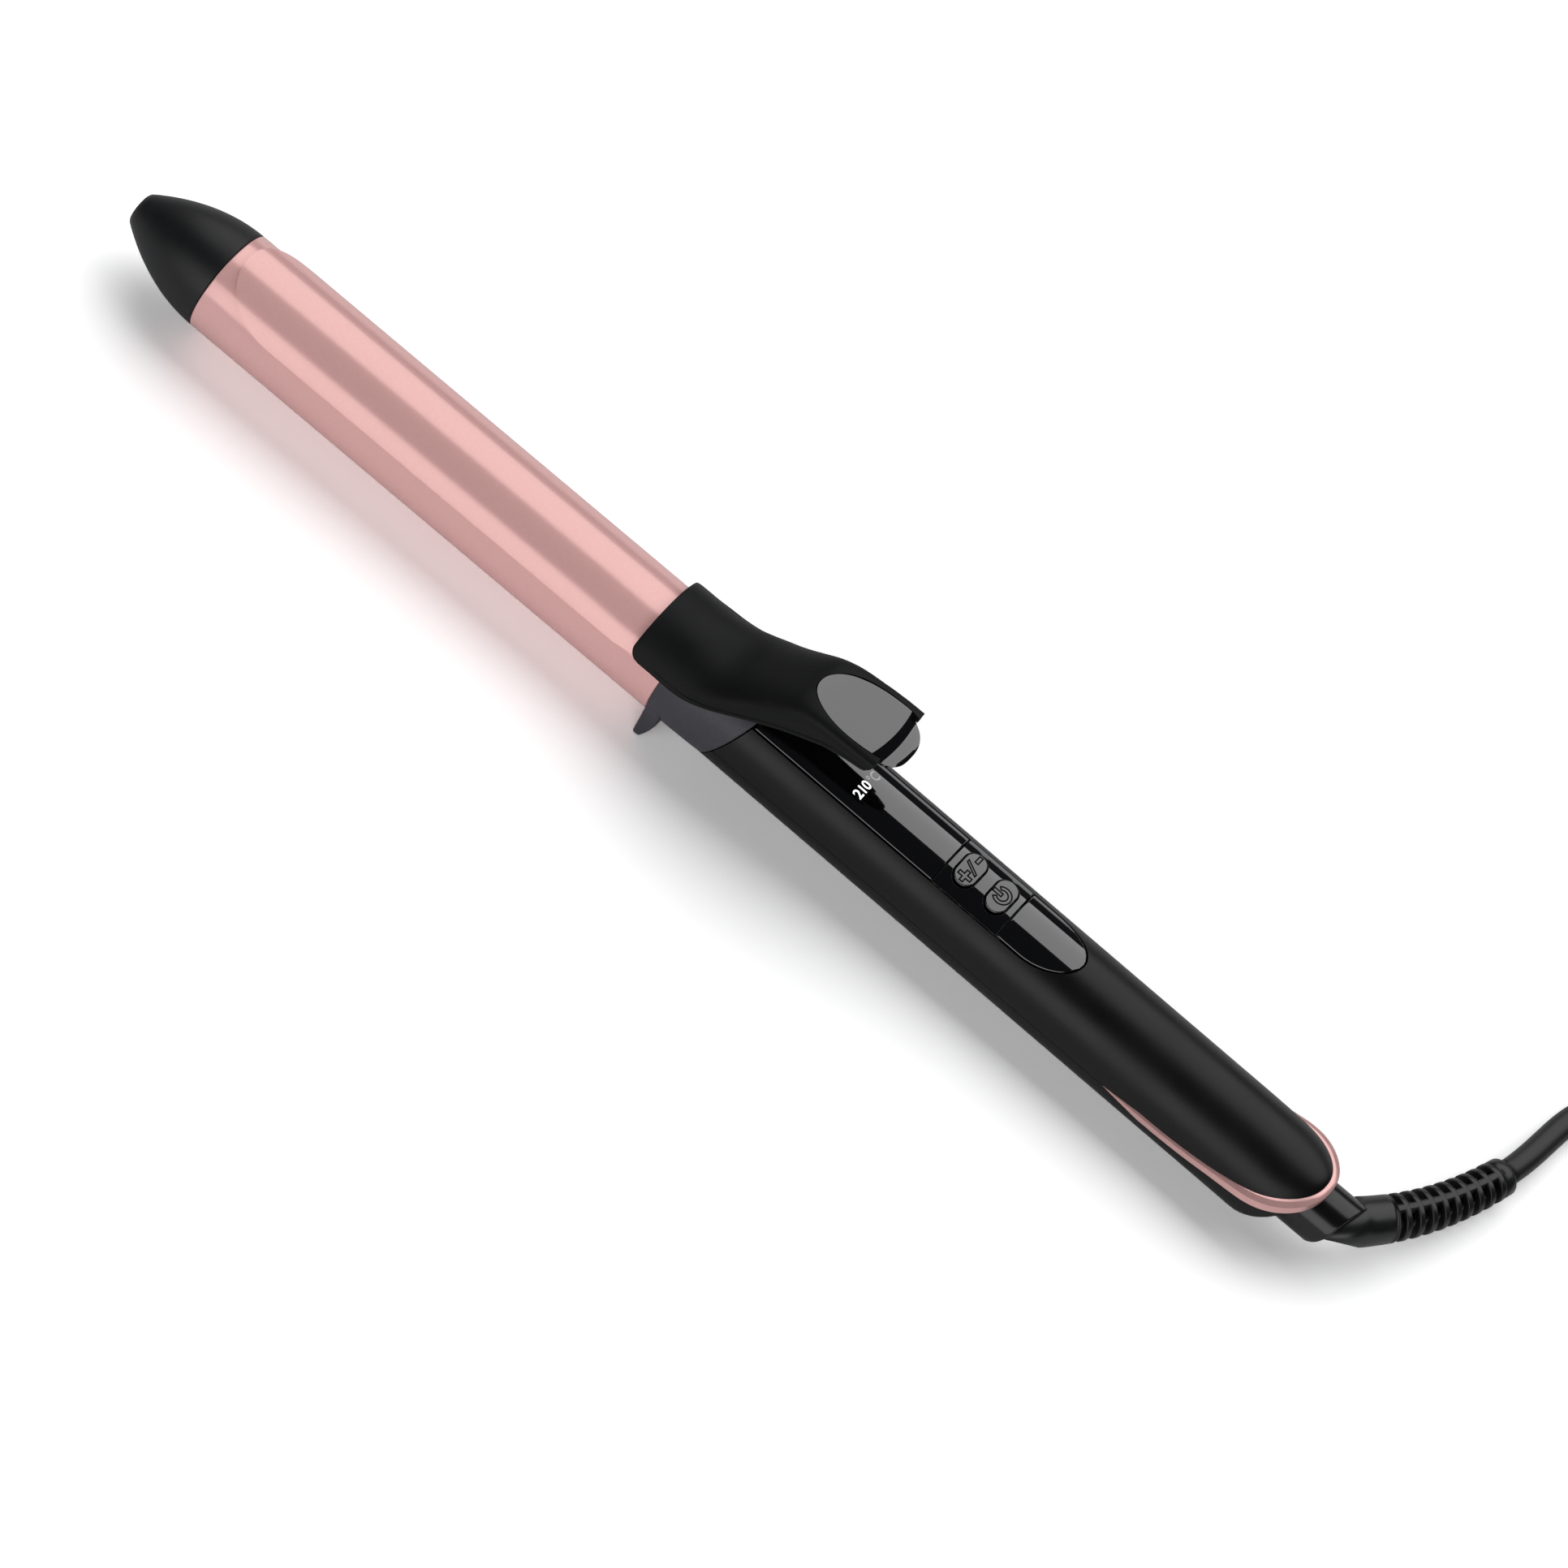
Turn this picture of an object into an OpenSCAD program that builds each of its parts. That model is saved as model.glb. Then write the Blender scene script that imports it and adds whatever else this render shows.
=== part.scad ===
// Curling tongs: heated barrel, sprung clip on a swan-neck thumb lever, handle with a
// display and two buttons, and a swivelling mains lead that is stored as a coil.
// Lengths in millimetres. X runs from the cool tip to the tail, Z is up, and the tongs
// stand on two feet and the back of the handle. Inside the modules, X starts at the
// cool tip and Z at the barrel's axis; placed() moves them to the part's own frame.

/* [Barrel] */
// Outside diameter of the barrel
barrel_d = 25; // [22:0.5:28]
// Length of barrel that shows between the cool tip and the collar
barrel_l = 131.1; // [110:1:180]
// Wall of the barrel tube
barrel_wall = 0.8; // [0.6:0.1:1.2]
// Length of the cool tip
tip_l = 24.5; // [18:0.5:32]
// Radius of the flat on the end of the cool tip
tip_flat_r = 3.8; // [2:0.1:6]
// Length of the heater inside the barrel
heater_l = 96; // [60:1:100]

/* [Clip] */
// Radial gap between the barrel and the closed clip
clip_gap = 0.3; // [0.2:0.05:0.5]
// Thickness of the clip plate
clip_wall = 0.7; // [0.5:0.05:1]
// Angle that each side of the clip reaches down from the top
clip_angle = 59.5; // [45:0.5:70]
// Distance from the cool tip to the clip's rounded end
clip_setback = 3.3; // [1:0.1:10]
// Length of the clip's rounded end
clip_nose_l = 16.6; // [10:0.1:24]

/* [Lever] */
// Length of the saddle that lies over the barrel
saddle_l = 8.8; // [6:0.1:12]
// Thickness of the saddle over the clip
saddle_t = 2.2; // [1.8:0.1:2.8]
// Wall of the lever cover
lever_wall = 1.8; // [1.2:0.1:2.2]
// Distance from the collar's front to the hinge pin
hinge_back = 14.4; // [14:0.1:15]
// Height of the hinge pin over the barrel's surface
hinge_up = 1.9; // [1.8:0.1:2.2]
// Diameter of the hinge pin
pin_d = 2.5; // [2:0.1:3]
// Radial running clearance of the pin in the collar's lugs
pin_play = 0.05; // [0.02:0.01:0.1]
// Half width of the thumb pad
pad_half_w = 7.9; // [6:0.1:8]
// Thickness of the thumb pad
pad_t = 1.4; // [1:0.1:2]

/* [Handle] */
// Radius of the handle
handle_r = 12.2; // [11.5:0.1:13]
// Wall of the handle shells
handle_wall = 2.2; // [1.8:0.1:2.6]
// Length of the collar at the axis
collar_l = 17.8; // [16:0.1:20]
// Length of the handle from the collar to the tail at the axis
handle_l = 161; // [156:1:190]
// Angle that the handle droops from the barrel's axis
droop = 0.92; // [0.6:0.02:1.2]
// Length of the rounded tail
tail_l = 14; // [10:0.5:18]
// Height of the trim ring
ring_h = 2.4; // [1.6:0.1:3.2]
// Height of the trim ring over the handle's middle at the tail
ring_rise = 7.3; // [5:0.1:8]
// How far the trim ring stands proud of the shells
ring_proud = 0.15; // [0:0.05:0.3]

/* [Panel] */
// Half width of the glossy panel
panel_half_w = 7.2; // [6.5:0.1:7.6]
// Thickness of the glossy panel
panel_t = 1.6; // [1.2:0.1:1.8]
// Length of the display window at the middle
window_l = 55.1; // [52:0.1:58]
// Length of the button section
bezel_l = 17.9; // [17:0.1:22]
// Length of the rear inlay
inlay_l = 18.3; // [14:0.1:24]
// Groove between the panel's pieces
panel_gap = 0.25; // [0.15:0.05:0.4]
// Length of a button along the handle
button_l = 5.75; // [5:0.05:6.2]
// Width of a button across the handle
button_w = 10; // [8:0.1:10.4]
// Distance between the two buttons
button_pitch = 8.9; // [8:0.1:10]
// Gap around each button
button_gap = 0.22; // [0.15:0.01:0.3]
// Travel of each button
button_travel = 0.4; // [0.2:0.05:0.5]

/* [Swivel and lead] */
// Radius of the swivel neck
neck_r = 7; // [6.5:0.1:7.4]
// Length of the fixed bush that shows behind the stern
bush_show_l = 5; // [3:0.5:7]
// Length of the turning neck on its upper side
neck_l = 14.6; // [12:0.1:18]
// Length of the strain relief
boot_l = 43; // [38:0.5:46]
// Radius of the strain relief where it leaves the neck
boot_r0 = 5.15; // [4.6:0.05:5.6]
// Radius of the strain relief at its free end
boot_r1 = 4.15; // [3.6:0.05:4.6]
// Number of slots on each side of the strain relief
boot_slots = 9; // [5:1:10]
// Diameter of the lead
cord_d = 6; // [5:0.1:7]

/* [Hidden] */
$fn = 96;
far = 20;                                // cuts reach this far, past every side of the tongs
barrel_r = barrel_d / 2;
barrel_bore_r = barrel_r - barrel_wall;
collar_x = tip_l + barrel_l;
stern_rise = 0.42;                       // slope of the joint between collar and handle
handle_x = collar_x + collar_l;
handle_drop = 0.23;                      // the handle's axis at the joint, under the barrel's
handle_bore_r = handle_r - handle_wall;
crown_l = 22.4;
stern_run = 17.2;                        // how far the slanted stern undercuts the tail
neck_axis_drop = 3.5;
neck_x = handle_x + handle_l - 10.4;     // where the bush comes out of the stern
seam_x = neck_x + bush_show_l;
overall_l = seam_x + neck_l;

// The feet reach as low as the back of the handle
belly_x = handle_l - stern_run;
axis_h = handle_drop + belly_x * sin(droop) + handle_r * cos(droop);

foot_y = 11.5;                           // from the middle to each foot's tip
foot_half_t = 0.9;
foot_l = 4;
foot_tip_l = 1.8;

// Clip
clip_r0 = barrel_r + clip_gap;
clip_r1 = clip_r0 + clip_wall;
clip_x = tip_l + clip_setback;
clip_straight_x = clip_x + clip_nose_l;
saddle_x = collar_x - saddle_l;
clip_end_x = collar_x + 6.4;
rivet_x = collar_x - 3;
rivet_r = 1.2;
rivet_y = 5.6;
rivet_z0 = clip_r0 - 0.7;
rivet_z1 = clip_r1 + 0.2;

// Hinge: two lugs on the collar, and the clip plate's two ears outside them
hinge_x = collar_x + hinge_back;
hinge_z = barrel_r + hinge_up;
lug_y = 2.9;
lug_t = 2;
lug_r = pin_d / 2 + 0.95;
lug_foot = 1.5;
ear_gap = 0.35;
ear_t = 1;
ear_y = lug_y + lug_t + ear_gap;
ear_r = pin_d / 2 + 0.6;
pin_half_l = ear_y + ear_t + 0.9;
spring_wire_r = 0.4;
spring_r = pin_d / 2 + 0.35 + spring_wire_r;
spring_turns = 4;
spring_room = spring_r + spring_wire_r + 0.5;

// Lever cover: [distance from the saddle's front, half width, rim height, crown height]
saddle_r = clip_r1 + saddle_t;
saddle_angle = 56;
neck_rows = [
    [0, 13, 8.8, 15.7], [10, 12.9, 8.9, 15.7], [14, 12.7, 9.7, 16.1], [18, 12.4, 11, 17],
    [23, 11.9, 13.2, 19.5], [28, 11.2, 16.4, 23.5], [33, 10.5, 19.6, 27.8],
    [37, 10.1, 21.4, 30.4], [42, 9.7, 23.7, 31.1], [47, 9.5, 26.2, 31.5],
    [53, 9.5, 27.2, 32.1], [59.2, 9.2, 28, 32.6]
];
lever_l = neck_rows[len(neck_rows) - 1][0];
cover_clear = 0.15;
pad_x0 = 37.4;
pad_x1 = 62.8;
pad_crease = 58.2;

// Handle, in its own frame: x from the collar joint, z from its drooping axis
ring_x = 110.6 * handle_l / 161;
ring_curve_x = 121.6 * handle_l / 161;
panel_floor_r = handle_r - panel_t;
window_x1 = window_l;
bezel_x0 = window_x1 + panel_gap;
bezel_x1 = bezel_x0 + bezel_l;
inlay_x0 = bezel_x1 + panel_gap;
inlay_x1 = inlay_x0 + inlay_l;
button_x = [bezel_x0 + (bezel_l - button_pitch) / 2, bezel_x0 + (bezel_l + button_pitch) / 2];
button_proud = 0.25;
flange = 0.8;
flange_gap = 0.3;

// Circuit board and what it carries
board_z = 4;
board_t = 1.6;
board_top = board_z + board_t;
board_x0 = 14;
board_half_w = 7.6;
post_x = [window_x1 - 12.6, bezel_x1 + 12];
post_r = 2.2;
screw_r = 1;
screw_head_r = 1.8;
screw_head_h = 1.2;
screw_bite = 2;
rectifier = [12, 10, 6];
capacitor_r = 4;
capacitor_h = 8;
relay = [6, 5, 7];
triac = [10, 4.5, 4.5];
switch_h = 1.9;
display_x0 = 20.5;
display_l = 18;
display_half_w = 5.6;
display_h = 2.4;

// Screws of the handle, driven from below
case_screw_x = [inlay_x0 + 4, handle_l - 42];
case_boss_r = 2.9;
case_head_r = 2.1;
case_shank_r = 1.1;
case_head_z = -7.4;
case_head_h = 1.4;
case_screw_z1 = 5;
board_x1 = case_screw_x[1] - case_boss_r - 0.3;
lead_r = 0.9;
lead_y = [7.9, 5, 3];                    // the heater's leads draw together on their way back
mains_lead_y = [4.5, 5.4];

// Swivel
journal_r = 4.6;
journal_play = 0.05;
journal_flange_r = 6.2;
journal_flange_t = 2;
bush_l = 15;
bush_x = seam_x - bush_l;
seam_gap = 0.3;
neck_play = 0.1;
slip_ring_r = 3.4;
slip_ring_w = 3;
slip_ring_x = [bush_x - 12, bush_x - 6.5];
brush_gap = 0.3;
brush_t = 3;
boot_from = [overall_l - 1.8, 3, -neck_axis_drop - 0.4];
boot_aim = [19.7, 38, -5.3];
boot_smooth_l = 11;
boot_ring_l = 3.2;

// Lead, in the part's own frame, with the floor at z = 0
cord_r = cord_d / 2;
cord_route = [
    [189.68, 40.96, 5.54], [190.28, 42.12, 5.38], [190.9, 46, 4.85], [191.4, 51, 4.2],
    [191.8, 56, 3.7],
    [192.3, 61, 3.3], [193.2, 66, 3.1], [195.4, 73, 3], [198.6, 79.6, 3],
    [202.8, 85.8, 3], [207.8, 91.4, 3], [213.4, 96.4, 3], [219.4, 100.8, 3],
    [225.8, 104.4, 3.1], [232.4, 107.2, 3.2], [239.2, 108.8, 3.4], [245, 109.3, 3.55],
    [248.6, 109, 3.6]
];
coil_x = 260;
coil_y = 62;
coil_r0 = 21;
coil_r1 = 45;
coil_z0 = 0.8;
coil_h = 18;
tail_route = [
    [228.2, 62, 15.8], [228.6, 67.4, 16.4], [230, 73.4, 17.8], [232.8, 79.2, 19.8],
    [236.8, 84.2, 22.2], [242, 88, 24.3], [247.4, 89.9, 25.4], [250.6, 90.2, 25.6],
    [254, 90.2, 25.6]
];
tie_w = 12;
tie_t = coil_z0;
plug_x = 254;
plug_y = 90.2;
plug_w = 35.3;
plug_t = 13.6;
plug_l = 34;
plug_z = coil_z0 + coil_h + plug_t / 2;
pin_mains_r = 2;
pin_mains_l = 19;
pin_mains_gap = 18.6;

// ---- helpers ----

// From tip-and-axis coordinates to the part's frame, centred on the floor
module placed() {
    translate([-overall_l / 2, 0, axis_h])
        children();
}

// The handle's own drooping frame
module in_handle() {
    placed()
        translate([handle_x, 0, -handle_drop])
            rotate([0, droop, 0])
                children();
}

// A round bar along X
module bar_x(x0, x1, r) {
    translate([x0, 0, 0])
        rotate([0, 90, 0])
            cylinder(r = r, h = x1 - x0);
}

// A round bar along Y, centred
module bar_y(half_l, r) {
    rotate([90, 0, 0])
        cylinder(r = r, h = 2 * half_l, center = true);
}

// Extrudes a side view, drawn in X and Z, from y0 to y1
module side_slab(y0, y1) {
    translate([0, y1, 0])
        rotate([90, 0, 0])
            linear_extrude(y1 - y0)
                children();
}

function unit(v) = v / norm(v);

// Rounds the corners of a wire's path: each inner corner becomes three points
function eased(p, back) = [for (i = [0:len(p) - 1])
    each (i == 0 || i == len(p) - 1) ? [p[i]] :
        let (a = p[i] + back * unit(p[i - 1] - p[i]), b = p[i] + back * unit(p[i + 1] - p[i]))
        [a, (a + b) / 4 + p[i] / 2, b]];

function along(p, i) = unit(p[min(i + 1, len(p) - 1)] - p[max(i - 1, 0)]);
function ring_at(p, i, r, sides, up) =
    let (t = along(p, i), s = unit(cross(t, up)), u = cross(s, t))
    [for (k = [0:sides - 1]) p[i] + r * (cos(360 * k / sides) * s + sin(360 * k / sides) * u)];

// A tube swept along a list of points
module swept(path, r, sides, up) {
    n = len(path);
    skin = [for (i = [0:n - 2]) for (k = [0:sides - 1])
        [i * sides + k, i * sides + (k + 1) % sides,
         (i + 1) * sides + (k + 1) % sides, (i + 1) * sides + k]];
    first = [for (k = [sides - 1:-1:0]) k];
    last = [for (k = [0:sides - 1]) (n - 1) * sides + k];
    polyhedron(
        points = [for (i = [0:n - 1]) for (q = ring_at(path, i, r, sides, up)) q],
        faces = concat([first], skin, [last])
    );
}

// ---- barrel ----

function tip_r(x) = barrel_r - (barrel_r - tip_flat_r) * pow(1 - x / tip_l, 2);

module cool_tip() {
    steps = 16;
    wall = 2;
    color([0.11, 0.11, 0.12])
        placed() {
            rotate([0, 90, 0])
                rotate_extrude()
                    polygon(concat(
                        [[0, 0]],
                        [for (i = [0:steps]) [tip_r(tip_l * i / steps), tip_l * i / steps]],
                        [[barrel_bore_r, tip_l], [barrel_bore_r, tip_l + 8],
                         [barrel_bore_r - wall, tip_l + 8], [barrel_bore_r - wall, tip_l - 4],
                         [tip_flat_r, 2 * wall], [0, 2 * wall]]
                    ));
        }
}

module barrel_tube() {
    color([0.86, 0.66, 0.63])
        placed()
            difference() {
                bar_x(tip_l, collar_x, barrel_r);
                bar_x(tip_l - 1, collar_x + 1, barrel_bore_r);
            }
}

spreader_x0 = tip_l + 12;
spreader_x1 = spreader_x0 + heater_l;
spreader_gap = 1.8;
heater_half_w = 7;

module spreader(side) {
    intersection() {
        bar_x(spreader_x0, spreader_x1, barrel_bore_r);
        translate([spreader_x0, -barrel_bore_r, side > 0 ? spreader_gap : -barrel_r - spreader_gap])
            cube([heater_l, 2 * barrel_bore_r, barrel_r]);
    }
}

module heat_spreader_upper() {
    color("silver")
        placed()
            spreader(1);
}

module heat_spreader_lower() {
    color("silver")
        placed()
            spreader(-1);
}

module ptc_heater() {
    color("tan")
        placed()
            translate([spreader_x0 + 3, -heater_half_w, -spreader_gap])
                cube([heater_l - 6, 2 * heater_half_w, 2 * spreader_gap]);
}

module temperature_sensor() {
    color("orange")
        placed()
            translate([0, heater_half_w + spreader_gap, 0])
                bar_x(spreader_x1 - 14, spreader_x1 - 6, spreader_gap);
}

module thermal_fuse() {
    color("gold")
        placed()
            translate([0, -heater_half_w - spreader_gap, 0])
                bar_x(spreader_x1 - 18, spreader_x1 - 6, spreader_gap);
}

module insulating_sleeve() {
    color([0.75, 0.72, 0.6])
        placed()
            difference() {
                bar_x(spreader_x1, collar_x + sleeve_back, sleeve_r);
                bar_x(spreader_x1 - 1, collar_x + sleeve_back + 1, sleeve_r - 1);
            }
}

// ---- collar, with the hinge lugs and the two feet ----

spigot_r = handle_bore_r - 0.7;
sleeve_r = barrel_bore_r - 2;
sleeve_back = 4;
lead_way_r = spigot_r - 1.5;

module foot(side) {
    intersection() {
        translate([collar_x, 0, 0])
            rotate([90, 0, 90])
                linear_extrude(foot_l)
                    polygon([
                        [side * (foot_y - foot_half_t), -axis_h], [side * (foot_y + foot_half_t), -axis_h],
                        [side * 0.968 * barrel_r, -0.24 * barrel_r],
                        [side * 0.72 * barrel_r, -0.48 * barrel_r],
                        [side * 0.44 * barrel_r, -0.83 * barrel_r]
                    ]);
        side_slab(-far, far)
            polygon([
                [collar_x, -axis_h], [collar_x + foot_tip_l, -axis_h],
                [collar_x + foot_l, -0.64 * barrel_r], [collar_x + foot_l, 0], [collar_x, 0]
            ]);
    }
}

module lug(y0) {
    side_slab(y0, y0 + lug_t)
        union() {
            translate([hinge_x, hinge_z])
                circle(r = lug_r);
            polygon([
                [hinge_x - lug_r, hinge_z], [hinge_x + lug_r, hinge_z],
                [hinge_x + lug_r + lug_foot, barrel_r - 3.5], [hinge_x - lug_r - lug_foot, barrel_r - 3.5]
            ]);
        }
}

module collar_blank() {
    intersection() {
        bar_x(collar_x, handle_x + 10, barrel_r);
        side_slab(-far, far)
            polygon([
                [collar_x - 1, -far], [handle_x - far * stern_rise, -far],
                [handle_x + far * stern_rise, far], [collar_x - 1, far]
            ]);
    }
}

module collar() {
    color([0.19, 0.19, 0.21])
        placed()
            difference() {
                union() {
                    collar_blank();
                    bar_x(collar_x - 12, collar_x + 1, barrel_bore_r);
                    bar_x(handle_x - 6, handle_x + 13, spigot_r);
                    lug(lug_y);
                    lug(-lug_y - lug_t);
                    foot(1);
                    foot(-1);
                }
                bar_x(collar_x - 13, collar_x + sleeve_back, sleeve_r);
                bar_x(collar_x - 13, handle_x + 14, lead_way_r);
                translate([hinge_x, 0, hinge_z]) {
                    bar_y(far, pin_d / 2 + pin_play);
                    bar_y(lug_y, spring_room);
                }
            }
}

// ---- clip and lever ----

clip_edge_y = clip_r1 * sin(clip_angle);

module clip_planform() {
    steps = 10;
    side = [for (i = [0:steps])
        let (a = 90 * i / steps)
        [clip_straight_x - clip_nose_l * cos(a), clip_r1 * sin(clip_angle * sin(a))]];
    polygon(concat(
        side,
        [[clip_end_x, clip_edge_y], [clip_end_x, -clip_edge_y]],
        [for (i = [steps:-1:1]) [side[i][0], -side[i][1]]]
    ));
}

// An ear of the clip plate, from the plate's back end over the collar to the hinge pin
module ear(y0) {
    root_x = clip_end_x - 3;
    root_z = sqrt(clip_r1 * clip_r1 - (ear_y + ear_t) * (ear_y + ear_t)) - 0.15;
    side_slab(y0, y0 + ear_t)
        union() {
            translate([hinge_x, hinge_z])
                circle(r = ear_r);
            polygon([
                [root_x, root_z], [clip_end_x + 4, root_z], [hinge_x + 0.6, hinge_z - ear_r + 0.1],
                [hinge_x, hinge_z], [hinge_x - 1, hinge_z + ear_r - 0.4],
                [hinge_x - 5, hinge_z - 2], [root_x, root_z + 0.2]
            ]);
        }
}

module clip_plate() {
    reach = 2 * clip_r1;
    color([0.86, 0.66, 0.63])
        placed()
            difference() {
                union() {
                    difference() {
                        intersection() {
                            bar_x(clip_x - 1, clip_end_x, clip_r1);
                            linear_extrude(clip_r1 + 1)
                                clip_planform();
                            rotate([90, 0, 90])
                                linear_extrude(clip_end_x + 1)
                                    polygon([
                                        [0, 0], [reach * sin(clip_angle), reach * cos(clip_angle)],
                                        [-reach * sin(clip_angle), reach * cos(clip_angle)]
                                    ]);
                        }
                        bar_x(clip_x - 2, clip_end_x + 1, clip_r0);
                    }
                    ear(ear_y);
                    ear(-ear_y - ear_t);
                }
                translate([hinge_x, 0, hinge_z])
                    bar_y(far, pin_d / 2);
                rivet_holes();
            }
}

// Two rivets hold the lever's saddle on the clip plate, flush with the plate's inside
module rivet_holes() {
    for (y = [-rivet_y, rivet_y])
        translate([rivet_x, y, rivet_z0])
            cylinder(r = rivet_r, h = rivet_z1 - rivet_z0);
}

module clip_rivets() {
    color("silver")
        placed()
            rivet_holes();
}

function lever_row(d, k) = lookup(d, [for (r = neck_rows) [r[0], r[k]]]);
function ease(d) = let (u = min(max((d - 9) / 16, 0), 1)) u * u * (3 - 2 * u);

// One section of the lever: the saddle's arc, easing into a round-shouldered arch
function lever_point(d, s, in, r) =
    let (
        k = ease(d),
        w = lever_row(d, 1) - in,
        low = lever_row(d, 2) - (in > 0 ? 2.5 : 0),
        top = lever_row(d, 3) - in,
        t = 90 * (1 - abs(s)),
        sgn = s < 0 ? -1 : 1,
        arc = [r * sin(saddle_angle * s), r * cos(saddle_angle * s)],
        arch = [sgn * w * pow(cos(t), 0.72), low + (top - low) * pow(sin(t), 0.72)]
    )
    (1 - k) * arc + k * arch;

module lever_form(d0, d1, in, r) {
    half = 10;
    steps = 24;
    m = 2 * half + 1;
    rows = [for (i = [0:steps]) d0 + (d1 - d0) * i / steps];
    skin = [for (i = [0:steps - 1]) for (k = [0:m - 1])
        [i * m + k, (i + 1) * m + k, (i + 1) * m + (k + 1) % m, i * m + (k + 1) % m]];
    polyhedron(
        points = [for (d = rows) for (k = [0:m - 1])
            let (q = lever_point(d, 1 - k / half, in, r)) [saddle_x + d, q[0], q[1]]],
        faces = concat(
            [[for (k = [0:m - 1]) k]],
            skin,
            [[for (k = [m - 1:-1:0]) steps * m + k]]
        )
    );
}

// The thumb pad: level on top, with a creased lip that turns down behind the cover
module pad_form(grow, lift) {
    steps = 24;
    mid = (pad_x0 + pad_x1) / 2;
    half = (pad_x1 - pad_x0) / 2 + grow;
    seat = 29.2;
    seat_rise = 1.9;
    intersection() {
        side_slab(-12, 12)
            polygon([
                [saddle_x + pad_x0, seat], [saddle_x + pad_crease, seat + seat_rise],
                [saddle_x + lever_l + 0.2 - grow, seat + seat_rise],
                [saddle_x + lever_l + 0.2 - grow, seat + 0.4],
                [saddle_x + pad_x1 - 0.6, seat + 0.2], [saddle_x + pad_x1 + grow, seat + 1.2],
                [saddle_x + pad_x1 - 1.2, seat + pad_t + 1.6 + lift],
                [saddle_x + pad_crease, seat + pad_t + seat_rise + 0.1 + lift],
                [saddle_x + pad_x0 + 3, seat + pad_t + 0.4 + lift],
                [saddle_x + pad_x0, seat + pad_t - 0.2 + lift]
            ]);
        translate([saddle_x + mid, 0, 0])
            linear_extrude(40)
                polygon([for (i = [0:2 * steps - 1])
                    let (a = 180 * i / steps, c = cos(a), s = sin(a))
                    [half * sign(c) * pow(abs(c), 0.85), (pad_half_w + grow) * sign(s) * pow(abs(s), 0.85)]]);
    }
}

module lever_cover() {
    color([0.1, 0.1, 0.1])
        placed()
            difference() {
                lever_form(0, lever_l, 0, saddle_r);
                lever_form(-1, lever_l - lever_wall, lever_wall, clip_r1 + cover_clear);
                pad_form(0.1, 3);
                rivet_holes();
            }
}

module thumb_pad() {
    color([0.05, 0.05, 0.05])
        placed()
            pad_form(0, 0);
}

module hinge_pin() {
    color("silver")
        placed()
            translate([hinge_x, 0, hinge_z])
                bar_y(pin_half_l, pin_d / 2);
}

module torsion_spring() {
    steps = 14;
    pitch = (2 * lug_y - 1.6) / spring_turns;
    y0 = -lug_y + 0.8;
    coil = [for (i = [0:steps * spring_turns])
        [spring_r * sin(360 * i / steps), y0 + pitch * i / steps, -spring_r * cos(360 * i / steps)]];
    color("silver")
        placed()
            translate([hinge_x, 0, hinge_z])
                swept(coil, spring_wire_r, 8, [0, 1, 0]);
}

// ---- handle ----

function mid_z(x) = x < ring_curve_x ? 0 : ring_rise * pow((x - ring_curve_x) / (handle_l - ring_curve_x), 2);
function band(x) = min(1, max(0, (x - ring_x) / 10)) * ring_h / 2;
tail_top = ring_rise + ring_h / 2;
tail_low = ring_rise - ring_h / 2;
crown_x = handle_l - crown_l;

// The handle's whole outside, drawn in by a wall's thickness
module handle_form(in) {
    steps = 12;
    over = 0.3;
    end = handle_l - in;
    tail_x = handle_l - tail_l;
    intersection() {
        bar_x(-far, handle_l + far, handle_r - in);
        translate([0, 0, -far])
            linear_extrude(2 * far)
                polygon(concat(
                    [[-far, -far], [tail_x, -far]],
                    [for (i = [-steps:steps])
                        let (a = 90 * i / steps)
                        [tail_x + (end - tail_x) * cos(a), (handle_r - in + over) * sin(a)]],
                    [[tail_x, far], [-far, far]]
                ));
        side_slab(-far, far)
            polygon(concat(
                [[-far, -far],
                 [belly_x - in * 1.4 - (far - handle_r) * stern_run / (handle_r + tail_low), -far],
                 [handle_l - in * 1.4, tail_low], [end, tail_top - in]],
                [for (i = [1:steps])
                    let (a = 90 * i / steps)
                    [crown_x + (end - crown_x) * cos(a),
                     tail_top - in + (handle_r + over - tail_top) * sin(a)]],
                [[crown_x, far], [-far, far]]
            ));
    }
}

// Side views above, below and between the two edges of the trim ring
function edge_curve(side) = [for (i = [0:12])
    let (x = ring_x + (handle_l + 4 - ring_x) * i / 12) [x, mid_z(x) + side * band(x)]];

module joint_cut() {
    side_slab(-far, far)
        polygon([
            [-far * stern_rise, -far], [far * stern_rise, far], [handle_l + far, far], [handle_l + far, -far]
        ]);
}

module above_ring() {
    side_slab(-far, far)
        polygon(concat([[-far, far], [-far, 0]], edge_curve(1), [[handle_l + 4, far]]));
}

module below_ring() {
    side_slab(-far, far)
        polygon(concat([[-far, -far], [-far, 0]], edge_curve(-1), [[handle_l + 4, -far]]));
}

// The glossy panel's outline seen from above, between two places along the handle
module panel_outline(x0, x1, grow) {
    steps = 10;
    nose = 12;
    w = panel_half_w + grow;
    round_end = [for (i = [-steps:steps])
        let (a = 90 * i / steps)
        [inlay_x1 + grow - nose + nose * cos(a), w * sin(a)]];
    intersection() {
        polygon(concat([[-far, -w]], round_end, [[-far, w]]));
        translate([x0, -far / 2])
            square([x1 - x0, far]);
    }
}

module panel_piece(x0, x1) {
    intersection() {
        difference() {
            bar_x(-far, inlay_x1 + 5, handle_r);
            bar_x(-far - 1, inlay_x1 + 6, panel_floor_r);
        }
        linear_extrude(far)
            panel_outline(x0, x1, 0);
    }
}

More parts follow.
